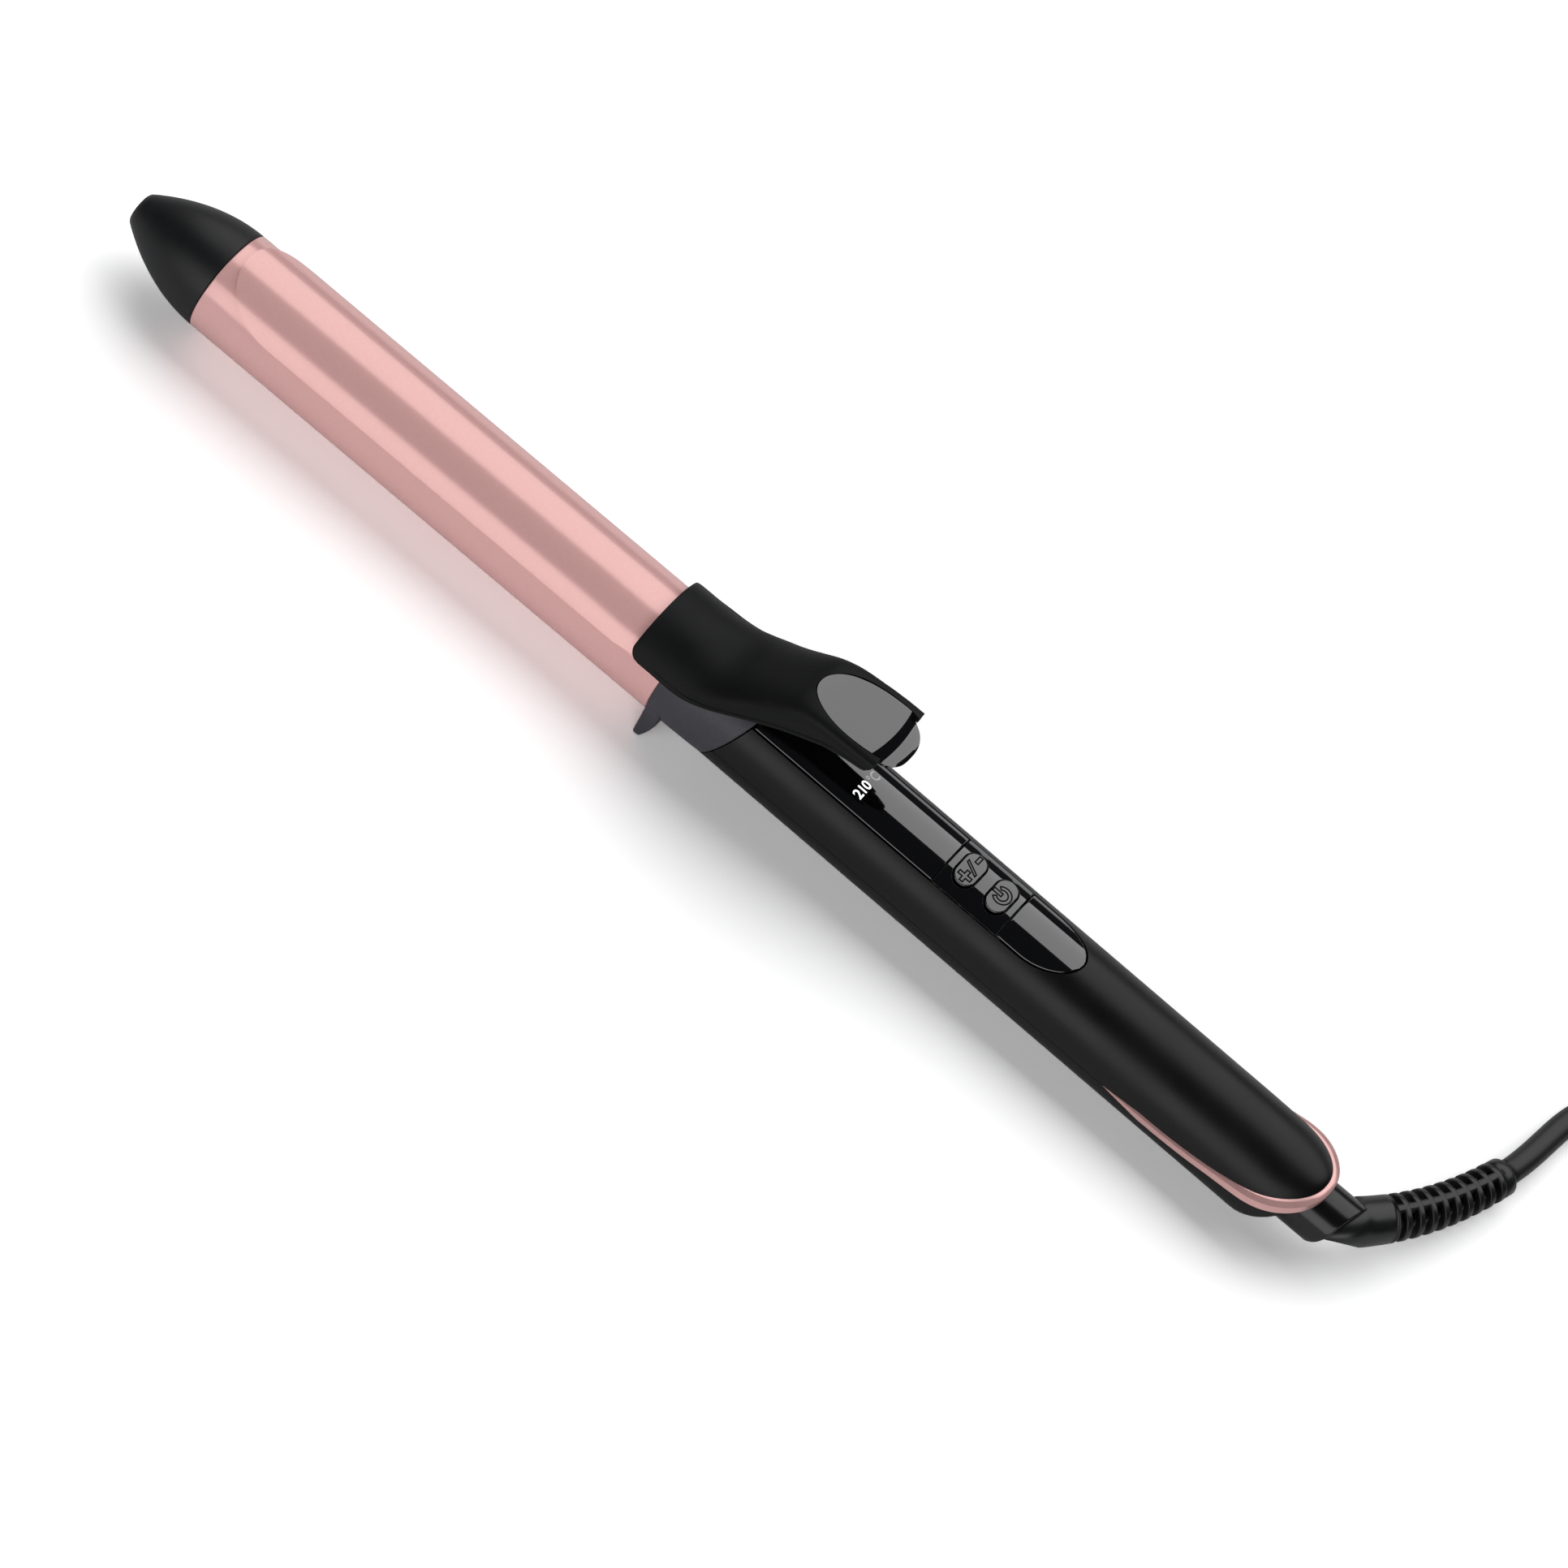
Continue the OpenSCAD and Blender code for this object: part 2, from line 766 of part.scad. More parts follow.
module pill(grow) {
    r = button_l / 2 + grow;
    union() {
        translate([-r, -button_w / 2 + button_l / 2])
            square([2 * r, button_w - button_l]);
        for (side = [-1, 1])
            translate([0, side * (button_w - button_l) / 2])
                circle(r = r);
    }
}

module button_holes(grow) {
    for (x = button_x)
        translate([x, 0, 0])
            linear_extrude(far)
                pill(grow);
}

// Screw tower under the roof or over the floor of the handle
module case_tower(x, up) {
    translate([x, 0, up ? 0 : -handle_r + 0.5])
        cylinder(r = case_boss_r, h = handle_r - 0.5);
}

module handle_upper_shell() {
    color([0.16, 0.16, 0.16])
        in_handle()
            difference() {
                union() {
                    intersection() {
                        difference() {
                            handle_form(0);
                            handle_form(handle_wall);
                        }
                        above_ring();
                        joint_cut();
                    }
                    intersection() {
                        handle_form(handle_wall / 2);
                        union() {
                            for (x = case_screw_x)
                                case_tower(x, true);
                            for (x = post_x)
                                translate([x, 0, board_top])
                                    cylinder(r = post_r, h = 8);
                        }
                        above_ring();
                    }
                }
                difference() {
                    translate([0, 0, 1])
                        linear_extrude(far)
                            panel_outline(-far, inlay_x1 + 5, 0);
                    bar_x(-far - 1, inlay_x1 + 6, panel_floor_r);
                }
                translate([display_x0 - 1, -display_half_w - 0.4, board_top])
                    cube([display_l + 2, 2 * display_half_w + 0.8, 12]);
                button_holes(button_gap);
                for (x = case_screw_x)
                    translate([x, 0, -1])
                        cylinder(r = case_shank_r, h = 7);
                for (x = post_x)
                    translate([x, 0, board_top - 1])
                        cylinder(r = screw_r, h = 3.4);
                swivel_room();
            }
}

module handle_lower_shell() {
    color([0.15, 0.15, 0.15])
        in_handle()
            difference() {
                union() {
                    intersection() {
                        difference() {
                            handle_form(0);
                            handle_form(handle_wall);
                        }
                        below_ring();
                        joint_cut();
                    }
                    intersection() {
                        handle_form(handle_wall / 2);
                        for (x = case_screw_x)
                            case_tower(x, false);
                        below_ring();
                    }
                }
                for (x = case_screw_x) {
                    translate([x, 0, -15])
                        cylinder(r = case_shank_r + 0.1, h = far);
                    translate([x, 0, -15])
                        cylinder(r = case_head_r + 0.2, h = 15 + case_head_z);
                }
                swivel_room();
            }
}

// The swivel's bush passes through the stern, in line with the barrel
module swivel_room() {
    rotate([0, -droop, 0])
        translate([-handle_x, 0, handle_drop - neck_axis_drop])
            bar_x(bush_x - 0.2, overall_l, neck_r + neck_play);
}

module trim_ring() {
    color([0.9, 0.68, 0.65])
        in_handle()
            difference() {
                intersection() {
                    difference() {
                        handle_form(-ring_proud);
                        handle_form(handle_wall);
                    }
                    side_slab(-far, far)
                        polygon(concat(
                            edge_curve(1),
                            [for (i = [12:-1:1]) edge_curve(-1)[i]]
                        ));
                }
                swivel_room();
            }
}

module display_window() {
    color([0.03, 0.03, 0.03])
        in_handle()
            intersection() {
                panel_piece(-far, window_x1);
                joint_cut();
            }
}

module button_bezel() {
    color([0.04, 0.04, 0.04])
        in_handle()
            difference() {
                panel_piece(bezel_x0, bezel_x1);
                button_holes(button_gap);
            }
}

module rear_inlay() {
    color([0.04, 0.04, 0.04])
        in_handle()
            panel_piece(inlay_x0, inlay_x1);
}

// A button's cap in the bezel, its flange under the shell and its stem over the switch
module button(x) {
    stem_r = 1.3;
    under_r = handle_bore_r - flange_gap;
    intersection() {
        translate([x, 0, 0])
            linear_extrude(far)
                pill(0);
        difference() {
            bar_x(x - 8, x + 8, handle_r + button_proud);
            bar_x(x - 9, x + 9, under_r - flange);
        }
    }
    intersection() {
        translate([x, 0, 0])
            linear_extrude(far)
                pill(flange);
        difference() {
            bar_x(x - 8, x + 8, under_r);
            bar_x(x - 9, x + 9, under_r - flange);
        }
    }
    stem_z = board_top + switch_h + button_travel + 0.1;
    translate([x, 0, stem_z])
        cylinder(r = stem_r, h = under_r - flange / 2 - stem_z);
}

module temperature_button() {
    color([0.07, 0.07, 0.07])
        in_handle()
            button(button_x[0]);
}

module power_button() {
    color([0.07, 0.07, 0.07])
        in_handle()
            button(button_x[1]);
}

// ---- electronics ----

module circuit_board() {
    color("darkgreen")
        in_handle()
            difference() {
                translate([board_x0, -board_half_w, board_z])
                    cube([board_x1 - board_x0, 2 * board_half_w, board_t]);
                for (x = post_x)
                    translate([x, 0, board_z - 1])
                        cylinder(r = screw_r, h = board_t + 2);
                translate([case_screw_x[0], 0, board_z - 1])
                    cylinder(r = case_boss_r + 0.3, h = board_t + 2);
            }
}

module display_module() {
    color([0.85, 0.85, 0.8])
        in_handle()
            translate([display_x0, -display_half_w, board_top])
                cube([display_l, 2 * display_half_w, display_h]);
}

module tact_switches() {
    half = 3;
    color("dimgray")
        in_handle()
            for (x = button_x)
                translate([x - half, -half, board_top])
                    cube([2 * half, 2 * half, switch_h]);
}

module board_components() {
    color("royalblue")
        in_handle() {
            translate([board_x0 + rectifier[0], -rectifier[1] / 2, board_z - rectifier[2]])
                cube(rectifier);
            translate([post_x[0] + capacitor_r + 3, 1.5, board_z - capacitor_h])
                cylinder(r = capacitor_r, h = capacitor_h);
            translate([window_x1 + 4, -1 - triac[1], board_z - triac[2]])
                cube(triac);
            translate([window_x1 + 4, 1, board_z - relay[2]])
                cube(relay);
        }
}

module board_screws() {
    color("silver")
        in_handle()
            for (x = post_x) {
                translate([x, 0, board_z - screw_head_h])
                    cylinder(r = screw_head_r, h = screw_head_h);
                translate([x, 0, board_z - screw_head_h / 2])
                    cylinder(r = screw_r, h = board_t + screw_head_h / 2 + screw_bite);
            }
}

module handle_screws() {
    color("silver")
        in_handle()
            for (x = case_screw_x) {
                translate([x, 0, case_head_z - case_head_h])
                    cylinder(r = case_head_r, h = case_head_h);
                translate([x, 0, case_head_z - case_head_h / 2])
                    cylinder(r = case_shank_r, h = case_screw_z1 + case_head_h / 2 - case_head_z);
            }
}

module heater_leads() {
    color([0.9, 0.9, 0.85])
        placed()
            for (side = [-1, 1])
                swept(eased([
                    [spreader_x1 - 2, side * lead_y[0], 0], [spreader_x1 + 8, side * lead_y[1], -lead_r],
                    [collar_x + 8, side * lead_y[2], -2 * lead_r],
                    [handle_x + 8, side * lead_y[2], -2 * lead_r],
                    [handle_x + board_x0 + 4, side * lead_y[2], board_z - handle_drop - 1.5 * lead_r]
                ], 2), lead_r, 8, [0, 0, 1]);
}

module mains_leads() {
    r = 1;
    board_end = handle_x + board_x1 - 8;
    color("saddlebrown")
        placed()
            for (side = [-1, 1])
                swept(eased([
                    [board_end, side * mains_lead_y[0], board_z - handle_drop - 3.1],
                    [board_end + 8, side * mains_lead_y[0], -2],
                    [bush_x - 16, side * mains_lead_y[1], -neck_axis_drop],
                    [slip_ring_x[side > 0 ? 0 : 1] - 0.1, side * mains_lead_y[1], -neck_axis_drop]
                ], 2), r, 8, [0, 0, 1]);
}

// ---- swivel ----

module at_neck() {
    placed()
        translate([0, 0, -neck_axis_drop])
            children();
}

// Two sprung contacts stand on the lower shell, one beside each slip ring
module brush_contacts() {
    color("goldenrod")
        intersection() {
            at_neck()
                for (i = [0, 1])
                    translate([
                        slip_ring_x[i],
                        i == 0 ? slip_ring_r + brush_gap : -slip_ring_r - brush_gap - brush_t, -12
                    ])
                        cube([slip_ring_w, brush_t, 13.6]);
            in_handle()
                handle_form(handle_wall);
        }
}

module swivel_bush() {
    color([0.12, 0.12, 0.12])
        at_neck()
            difference() {
                bar_x(bush_x, seam_x - seam_gap, neck_r);
                bar_x(bush_x - 1, seam_x + 1, journal_r + journal_play);
            }
}

module boot_axis() {
    translate(boot_from)
        rotate([0, acos(boot_aim[2] / norm(boot_aim)), atan2(boot_aim[1], boot_aim[0])])
            children();
}

module boot_blank() {
    boot_axis()
        cylinder(r1 = boot_r0, r2 = boot_r1, h = boot_l);
}

module swivel_neck() {
    color([0.12, 0.12, 0.12])
        placed()
            difference() {
                union() {
                    intersection() {
                        translate([0, 0, -neck_axis_drop])
                            bar_x(seam_x, overall_l, neck_r);
                        side_slab(-far, far)
                            polygon([
                                [seam_x - 1, -neck_axis_drop - far], [seam_x - 1, far],
                                [overall_l, far], [overall_l, -neck_axis_drop + neck_r - 4],
                                [overall_l - 5.6, -neck_axis_drop - neck_r]
                            ]);
                    }
                    translate([0, 0, -neck_axis_drop]) {
                        bar_x(bush_x - 1, seam_x + 1, journal_r);
                        bar_x(bush_x - 0.5 - journal_flange_t, bush_x - 0.5, journal_flange_r);
                        bar_x(bush_x - 14, bush_x - 1, slip_ring_r - 1);
                    }
                }
                boot_blank();
                translate([0, 0, -neck_axis_drop])
                    bar_x(bush_x - far, overall_l - 8, 1.2);
            }
}

module slip_rings() {
    color("goldenrod")
        at_neck()
            for (x = slip_ring_x)
                difference() {
                    bar_x(x, x + slip_ring_w, slip_ring_r);
                    bar_x(x - 1, x + slip_ring_w + 1, slip_ring_r - 1);
                }
}

module strain_relief() {
    pitch = (boot_l - boot_smooth_l - boot_ring_l) / boot_slots;
    slot = 1.1;
    color([0.13, 0.13, 0.13])
        placed()
            difference() {
                boot_blank();
                boot_axis() {
                    translate([0, 0, boot_smooth_l])
                        for (i = [0:boot_slots - 1])
                            for (side = [-1, 1])
                                translate([
                                    -boot_r0 - 1, side > 0 ? 1 : -boot_r0 - 2, pitch * i
                                ])
                                    cube([2 * boot_r0 + 2, boot_r0 + 1, slot]);
                }
            }
}

// ---- lead, plug and storage coil ----

module cord() {
    color([0.1, 0.1, 0.1])
        swept(cord_route, cord_r, 8, [0, 0, 1]);
}

// The turns' outer shape: a ring with a flat base and top
module cord_coil() {
    color([0.1, 0.1, 0.1])
        translate([coil_x, coil_y, coil_z0])
            rotate_extrude()
                translate([coil_r0, 0])
                    square([coil_r1 - coil_r0, coil_h]);
}

// A strap round the coil's bundle, on the side away from the tongs
module cord_tie() {
    color([0.05, 0.05, 0.05])
        translate([coil_x, coil_y, 0])
            difference() {
                translate([coil_r0 - tie_t - 0.3, -tie_w / 2, 0])
                    cube([coil_r1 - coil_r0 + 2 * tie_t + 0.3, tie_w, coil_h + 2 * coil_z0]);
                translate([0, 0, coil_z0])
                    difference() {
                        cylinder(r = coil_r1, h = coil_h);
                        translate([0, 0, -1])
                            cylinder(r = coil_r0, h = coil_h + 2);
                    }
            }
}

module cord_tail() {
    color([0.1, 0.1, 0.1])
        swept(tail_route, cord_r, 8, [0, 0, 1]);
}

module plug_body() {
    boot = 14;
    color([0.1, 0.1, 0.1])
        translate([plug_x, plug_y, plug_z])
            union() {
                rotate([0, 90, 0])
                    cylinder(r1 = cord_r + 0.8, r2 = plug_t / 2 - 1, h = boot);
                translate([boot, -plug_w / 2 + plug_t / 2, -plug_t / 2])
                    cube([plug_l - boot, plug_w - plug_t, plug_t]);
                for (side = [-1, 1])
                    translate([boot, side * (plug_w - plug_t) / 2, 0])
                        rotate([0, 90, 0])
                            cylinder(r = plug_t / 2, h = plug_l - boot);
            }
}

module plug_pins() {
    color("silver")
        translate([plug_x + plug_l, plug_y, plug_z])
            for (side = [-1, 1])
                translate([0, side * pin_mains_gap / 2, 0])
                    rotate([0, 90, 0])
                        cylinder(r = pin_mains_r, h = pin_mains_l);
}

// ---- nodes ----

cool_tip();
barrel_tube();
heat_spreader_upper();
heat_spreader_lower();
ptc_heater();
temperature_sensor();
thermal_fuse();
insulating_sleeve();
collar();
clip_plate();
clip_rivets();
lever_cover();
thumb_pad();
hinge_pin();
torsion_spring();
handle_upper_shell();
handle_lower_shell();
trim_ring();
display_window();
button_bezel();
rear_inlay();
temperature_button();
power_button();
circuit_board();
display_module();
tact_switches();
board_components();
board_screws();
handle_screws();
heater_leads();
mains_leads();
brush_contacts();
swivel_bush();
swivel_neck();
slip_rings();
strain_relief();
cord();
cord_coil();
cord_tie();
cord_tail();
plug_body();
plug_pins();
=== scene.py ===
# Curling tongs lying on a pale table: camera, light and table first, then the object from
# the far end of its lead, through the swivel and the handle, to the cool tip. Blender works
# in metres; sizes are written in millimetres and turned to metres by the placing functions.

import math

import bmesh
import bpy
from mathutils import Matrix, Vector
from mathutils.geometry import delaunay_2d_cdt


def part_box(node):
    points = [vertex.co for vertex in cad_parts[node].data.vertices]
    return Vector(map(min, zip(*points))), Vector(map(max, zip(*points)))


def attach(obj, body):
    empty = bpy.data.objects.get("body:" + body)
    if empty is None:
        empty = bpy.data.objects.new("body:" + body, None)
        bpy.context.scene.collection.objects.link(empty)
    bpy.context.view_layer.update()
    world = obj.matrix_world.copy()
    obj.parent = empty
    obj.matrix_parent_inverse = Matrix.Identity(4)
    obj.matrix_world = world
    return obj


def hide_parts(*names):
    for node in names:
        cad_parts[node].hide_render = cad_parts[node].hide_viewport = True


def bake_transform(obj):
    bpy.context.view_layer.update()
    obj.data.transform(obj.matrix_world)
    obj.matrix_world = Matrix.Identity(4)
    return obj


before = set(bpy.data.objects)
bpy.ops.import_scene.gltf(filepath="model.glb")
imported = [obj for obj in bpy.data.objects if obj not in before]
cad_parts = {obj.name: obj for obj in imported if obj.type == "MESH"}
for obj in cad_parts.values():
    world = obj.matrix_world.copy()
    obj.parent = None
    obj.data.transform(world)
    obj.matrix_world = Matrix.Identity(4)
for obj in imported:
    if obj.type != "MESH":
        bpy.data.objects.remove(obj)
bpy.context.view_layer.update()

# ---- Table, camera and light ----
# The tongs lie on a plain white table under one very large soft light behind them, with a
# low white card on the camera's side that lifts the flank of the handle.

mm = 0.001
tip_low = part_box("cool_tip")[0]
barrel_low, barrel_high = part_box("barrel_tube")
axis_z = (barrel_low[2] + barrel_high[2]) / 2
nose = Vector((tip_low[0], 0, axis_z))


# A point of the barrel's own frame: x from the cool tip, z from the barrel's axis
def at(x, y, z):
    return Vector((nose.x + x * mm, y * mm, nose.z + z * mm))


# Adds a node to a material's tree with its settings, and sets or links its inputs
def add(tree, kind, settings=None, inputs=None):
    node = tree.nodes.new(kind)
    for key, value in (settings or {}).items():
        setattr(node, key, value)
    for key, value in (inputs or {}).items():
        if isinstance(value, bpy.types.NodeSocket):
            tree.links.new(value, node.inputs[key])
        else:
            node.inputs[key].default_value = value
    return node


# An sRGB hex colour as the linear colour that a shader takes
def hex_colour(code):
    linear = []
    for i in (0, 2, 4):
        c = int(code[i:i + 2], 16) / 255
        linear.append(c / 12.92 if c <= 0.04045 else ((c + 0.055) / 1.055) ** 2.4)
    return (*linear, 1.0)


def empty_tree(owner):
    owner.use_nodes = True
    owner.node_tree.nodes.clear()
    return owner.node_tree


# Looking down at the table from the front left, rolled so that the tongs run from the
# upper left to the lower right of the picture
sight = Vector((0.1089, -0.532, 0.8397)).normalized()
level = (Vector((1, 0, 0)) - sight * sight.x).normalized()
rise = sight.cross(level)
roll = math.radians(40.08)
right = level * math.cos(roll) + rise * math.sin(roll)
up = rise * math.cos(roll) - level * math.sin(roll)
camera_distance = 1.69
picture_focal = 4.93
nose_right = -0.08292
nose_up = 0.0743
eye = nose + sight * camera_distance - (right * nose_right + up * nose_up) * camera_distance

camera = bpy.data.objects.new("camera", bpy.data.cameras.new("camera"))
camera.data.sensor_width = 36
camera.data.lens = camera.data.sensor_width * picture_focal
camera.data.clip_start = 0.05
camera.matrix_world = Matrix((
    (right.x, up.x, sight.x, eye.x),
    (right.y, up.y, sight.y, eye.y),
    (right.z, up.z, sight.z, eye.z),
    (0, 0, 0, 1),
))
bpy.context.collection.objects.link(camera)
bpy.context.scene.camera = camera
bpy.context.scene.view_settings.view_transform = "Standard"


# A rectangular softbox that looks at a point
def softbox(name, place, target, width, height, watts):
    lamp = bpy.data.lights.new(name, "AREA")
    lamp.shape = "RECTANGLE"
    lamp.size = width
    lamp.size_y = height
    lamp.energy = watts
    thing = bpy.data.objects.new(name, lamp)
    thing.location = place
    thing.rotation_euler = (Vector(target) - Vector(place)).to_track_quat("-Z", "Y").to_euler()
    thing.visible_camera = False
    bpy.context.collection.objects.link(thing)
    return thing


softbox("softbox_behind", (0, 1.05, 1.33), (0, 0.05, 0), 3.2, 1.9, 33)
softbox("card_in_front", (0, -1.5, 0.64), (0, 0, 0.05), 2.8, 1.1, 18)

sky = empty_tree(bpy.data.worlds.new("studio"))
bpy.context.scene.world = bpy.data.worlds["studio"]
path = add(sky, "ShaderNodeLightPath")
fill = add(sky, "ShaderNodeBackground", inputs={"Color": (0.84, 0.88, 1, 1), "Strength": 0.035})
white = add(sky, "ShaderNodeBackground", inputs={"Color": (1, 1, 1, 1), "Strength": 1.0})
seen = add(sky, "ShaderNodeMixShader", inputs={
    0: path.outputs["Is Camera Ray"], 1: fill.outputs[0], 2: white.outputs[0]})
add(sky, "ShaderNodeOutputWorld", inputs={"Surface": seen.outputs[0]})

table_paint = bpy.data.materials.new("white_table")
tree = empty_tree(table_paint)
path = add(tree, "ShaderNodeLightPath")
looks = add(tree, "ShaderNodeMath", {"operation": "MAXIMUM"}, {
    0: path.outputs["Is Camera Ray"], 1: path.outputs["Is Transmission Ray"]})
lift = add(tree, "ShaderNodeMath", {"operation": "MULTIPLY"}, {0: looks.outputs[0], 1: 0.06})
glow = add(tree, "ShaderNodeEmission", inputs={"Color": (1, 1, 1, 1), "Strength": lift.outputs[0]})
white = add(tree, "ShaderNodeMix", {"data_type": "RGBA"}, {
    "Factor": looks.outputs[0], 6: (0.8, 0.8, 0.81, 1), 7: (1.68, 1.68, 1.68, 1)})
paint = add(tree, "ShaderNodeBsdfDiffuse", inputs={"Color": white.outputs[2]})
both = add(tree, "ShaderNodeAddShader", inputs={0: glow.outputs[0], 1: paint.outputs[0]})
add(tree, "ShaderNodeOutputMaterial", inputs={"Surface": both.outputs[0]})
table_half = 4.0
mesh = bpy.data.meshes.new("table")
mesh.from_pydata([(-table_half, -table_half, 0), (table_half, -table_half, 0),
                  (table_half, table_half, 0), (-table_half, table_half, 0)], [], [(0, 1, 2, 3)])
mesh.materials.append(table_paint)
table = bpy.data.objects.new("table", mesh)
bpy.context.collection.objects.link(table)

# ---- Mains lead ----
# A round two-core lead in a black PVC jacket, extruded smooth. It leaves the end of the
# strain relief, comes down to the table and is wound into a storage coil of three layers.


# A mesh object that stays where its points are
def make_piece(name, points, faces, material, smooth=True):
    mesh = bpy.data.meshes.new(name)
    mesh.from_pydata([tuple(p) for p in points], [], faces)
    mesh.validate()
    mesh.materials.append(material)
    for polygon in mesh.polygons:
        polygon.use_smooth = smooth
    thing = bpy.data.objects.new(name, mesh)
    bpy.context.collection.objects.link(thing)
    return thing


# A skin through rows of points; closed rows are rings, and capped ends get a face each
def loft(name, rows, material, closed=True, capped=True):
    count = len(rows[0])
    spans = count if closed else count - 1
    faces = []
    for i in range(len(rows) - 1):
        for k in range(spans):
            n = (k + 1) % count
            faces.append((i * count + k, i * count + n, (i + 1) * count + n, (i + 1) * count + k))
    if capped:
        faces.append(tuple(reversed(range(count))))
        faces.append(tuple((len(rows) - 1) * count + k for k in range(count)))
    return make_piece(name, [p for row in rows for p in row], faces, material)


# Points at an even spacing along a smooth curve through the given points
def smooth_path(points, spacing):
    points = [Vector(p) for p in points]
    fine = []
    for i in range(len(points) - 1):
        a, b = points[i], points[i + 1]
        before = points[i - 1] if i else a * 2 - b
        after = points[i + 2] if i + 2 < len(points) else b * 2 - a
        steps = 12
        for k in range(steps):
            t = k / steps
            fine.append(0.5 * (2 * a + (b - before) * t + (2 * before - 5 * a + 4 * b - after) * t * t
                               + (3 * a - before - 3 * b + after) * t ** 3))
    fine.append(points[-1])
    total = sum((fine[i + 1] - fine[i]).length for i in range(len(fine) - 1))
    count = max(2, round(total / spacing))
    even, walked, i = [fine[0]], 0.0, 0
    for k in range(1, count):
        want = total * k / count
        while walked + (fine[i + 1] - fine[i]).length < want:
            walked += (fine[i + 1] - fine[i]).length
            i += 1
        part = (want - walked) / (fine[i + 1] - fine[i]).length
        even.append(fine[i].lerp(fine[i + 1], part))
    even.append(fine[-1])
    return even


# Rings of a round tube along a path, without twist
def tube_rows(path, radius, sides):
    rows = []
    normal = Vector((0, 0, 1))
    for i, p in enumerate(path):
        ahead = (path[min(i + 1, len(path) - 1)] - path[max(i - 1, 0)]).normalized()
        normal = (normal - ahead * normal.dot(ahead)).normalized()
        side = ahead.cross(normal)
        rows.append([p + (normal * math.cos(a) + side * math.sin(a)) * radius
                     for a in (2 * math.pi * k / sides for k in range(sides))])
    return rows


cord_d = 6
cord_route = [
    (189.6, 40.8, 5.5), (190.6, 46, 4.8), (191.3, 51, 4.2), (191.8, 56, 3.7),
    (192.3, 61, 3.3), (193.2, 66, 3.1), (195.4, 73, 3), (198.6, 79.6, 3),
    (202.8, 85.8, 3), (207.8, 91.4, 3), (213.4, 96.4, 3), (219.4, 100.8, 3),
    (225.8, 104.4, 3.1), (232.4, 107.2, 3.2), (239.2, 108.8, 3.4), (245, 109.3, 3.55),
    (248.6, 109, 3.6),
]
tail_route = [
    (228.6, 67.4, 16.4), (230, 73.4, 17.8), (232.8, 79.2, 19.8),
    (236.8, 84.2, 22.2), (242, 88, 24.3), (247.4, 89.9, 25.4), (250.6, 90.2, 25.6),
    (254, 90.2, 25.6),
]
coil_centre = (260, 62)
coil_outer = 42
coil_inner = 24
coil_base = 3.8
coil_start = math.radians(110)
layer_turns = (3, 3, 1 + 250 / 360)
points_per_turn = 36


def ease(t):
    t = min(1, max(0, t))
    return t * t * (3 - 2 * t)


# Winds the coil in, out and in again. Each layer lies one diameter over the last, and the
# climb to it is eased over a quarter of a turn round the place where the layers meet
def coil_points():
    points = []
    climb_from, climb_over = -0.07, 0.26
    whole = sum(layer_turns)
    for k in range(int(whole * points_per_turn) + 1):
        turn = k / points_per_turn
        layer, t = 0, turn
        while layer < len(layer_turns) - 1 and t >= layer_turns[layer]:
            t -= layer_turns[layer]
            layer += 1
        radius = coil_inner + cord_d * t if layer % 2 else coil_outer - cord_d * t
        climbs = (ease((turn - sum(layer_turns[:n]) - climb_from) / climb_over)
                  for n in range(1, len(layer_turns)))
        angle = coil_start + 2 * math.pi * turn
        points.append((coil_centre[0] - radius * math.cos(angle), coil_centre[1] + radius * math.sin(angle),
                       coil_base + cord_d * sum(climbs)))
    return points


wound = coil_points()
cord_path = [p * mm for p in smooth_path(cord_route + wound + tail_route, 2.5)]


# Black plasticised PVC, extruded: even dark grey-black with a soft sheen and a faint pebble
def lead_jacket():
    material = bpy.data.materials.new("pvc_lead_jacket")
    tree = empty_tree(material)
    place = add(tree, "ShaderNodeTexCoord")
    pebble = add(tree, "ShaderNodeTexNoise", inputs={
        "Vector": place.outputs["Object"], "Scale": 1 / (0.5 * mm), "Detail": 3})
    bump = add(tree, "ShaderNodeBump", inputs={
        "Height": pebble.outputs["Fac"], "Strength": 0.25, "Distance": 0.02 * mm})
    sheen = add(tree, "ShaderNodeMapRange", inputs={
        "Value": pebble.outputs["Fac"], "To Min": 0.38, "To Max": 0.5})
    shader = add(tree, "ShaderNodeBsdfPrincipled", inputs={
        "Base Color": hex_colour("161616"), "Roughness": sheen.outputs[0], "Normal": bump.outputs[0]})
    add(tree, "ShaderNodeOutputMaterial", inputs={"Surface": shader.outputs[0]})
    return material


pvc = lead_jacket()
lead = loft("mains_lead", tube_rows(cord_path, cord_d / 2 * mm, 16), pvc)
boot_end = Vector(cord_route[0]) * mm
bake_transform(lead)
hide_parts("cord", "cord_coil", "cord_tail")

# ---- Cord tie ----
# A hook-and-loop strap, woven nylon, wrapped once round the coil's bundle on the side
# away from the tongs.

tie_half_w = 6
tie_t = 0.8
turn_room = 3.1
bundle = (coil_centre[0] + coil_inner - turn_room, coil_centre[0] + coil_outer + turn_room)
bundle_top = coil_base + cord_d * 2 + turn_room


# A rounded rectangle's outline, counter-clockwise
def round_rectangle(x0, x1, y0, y1, r, steps=6):
    points = []
    for cx, cy, start in ((x1 - r, y1 - r, 0), (x0 + r, y1 - r, 90), (x0 + r, y0 + r, 180),
                          (x1 - r, y0 + r, 270)):
        for k in range(steps + 1):
            a = math.radians(start + 90 * k / steps)
            points.append((cx + r * math.cos(a), cy + r * math.sin(a)))
    return points


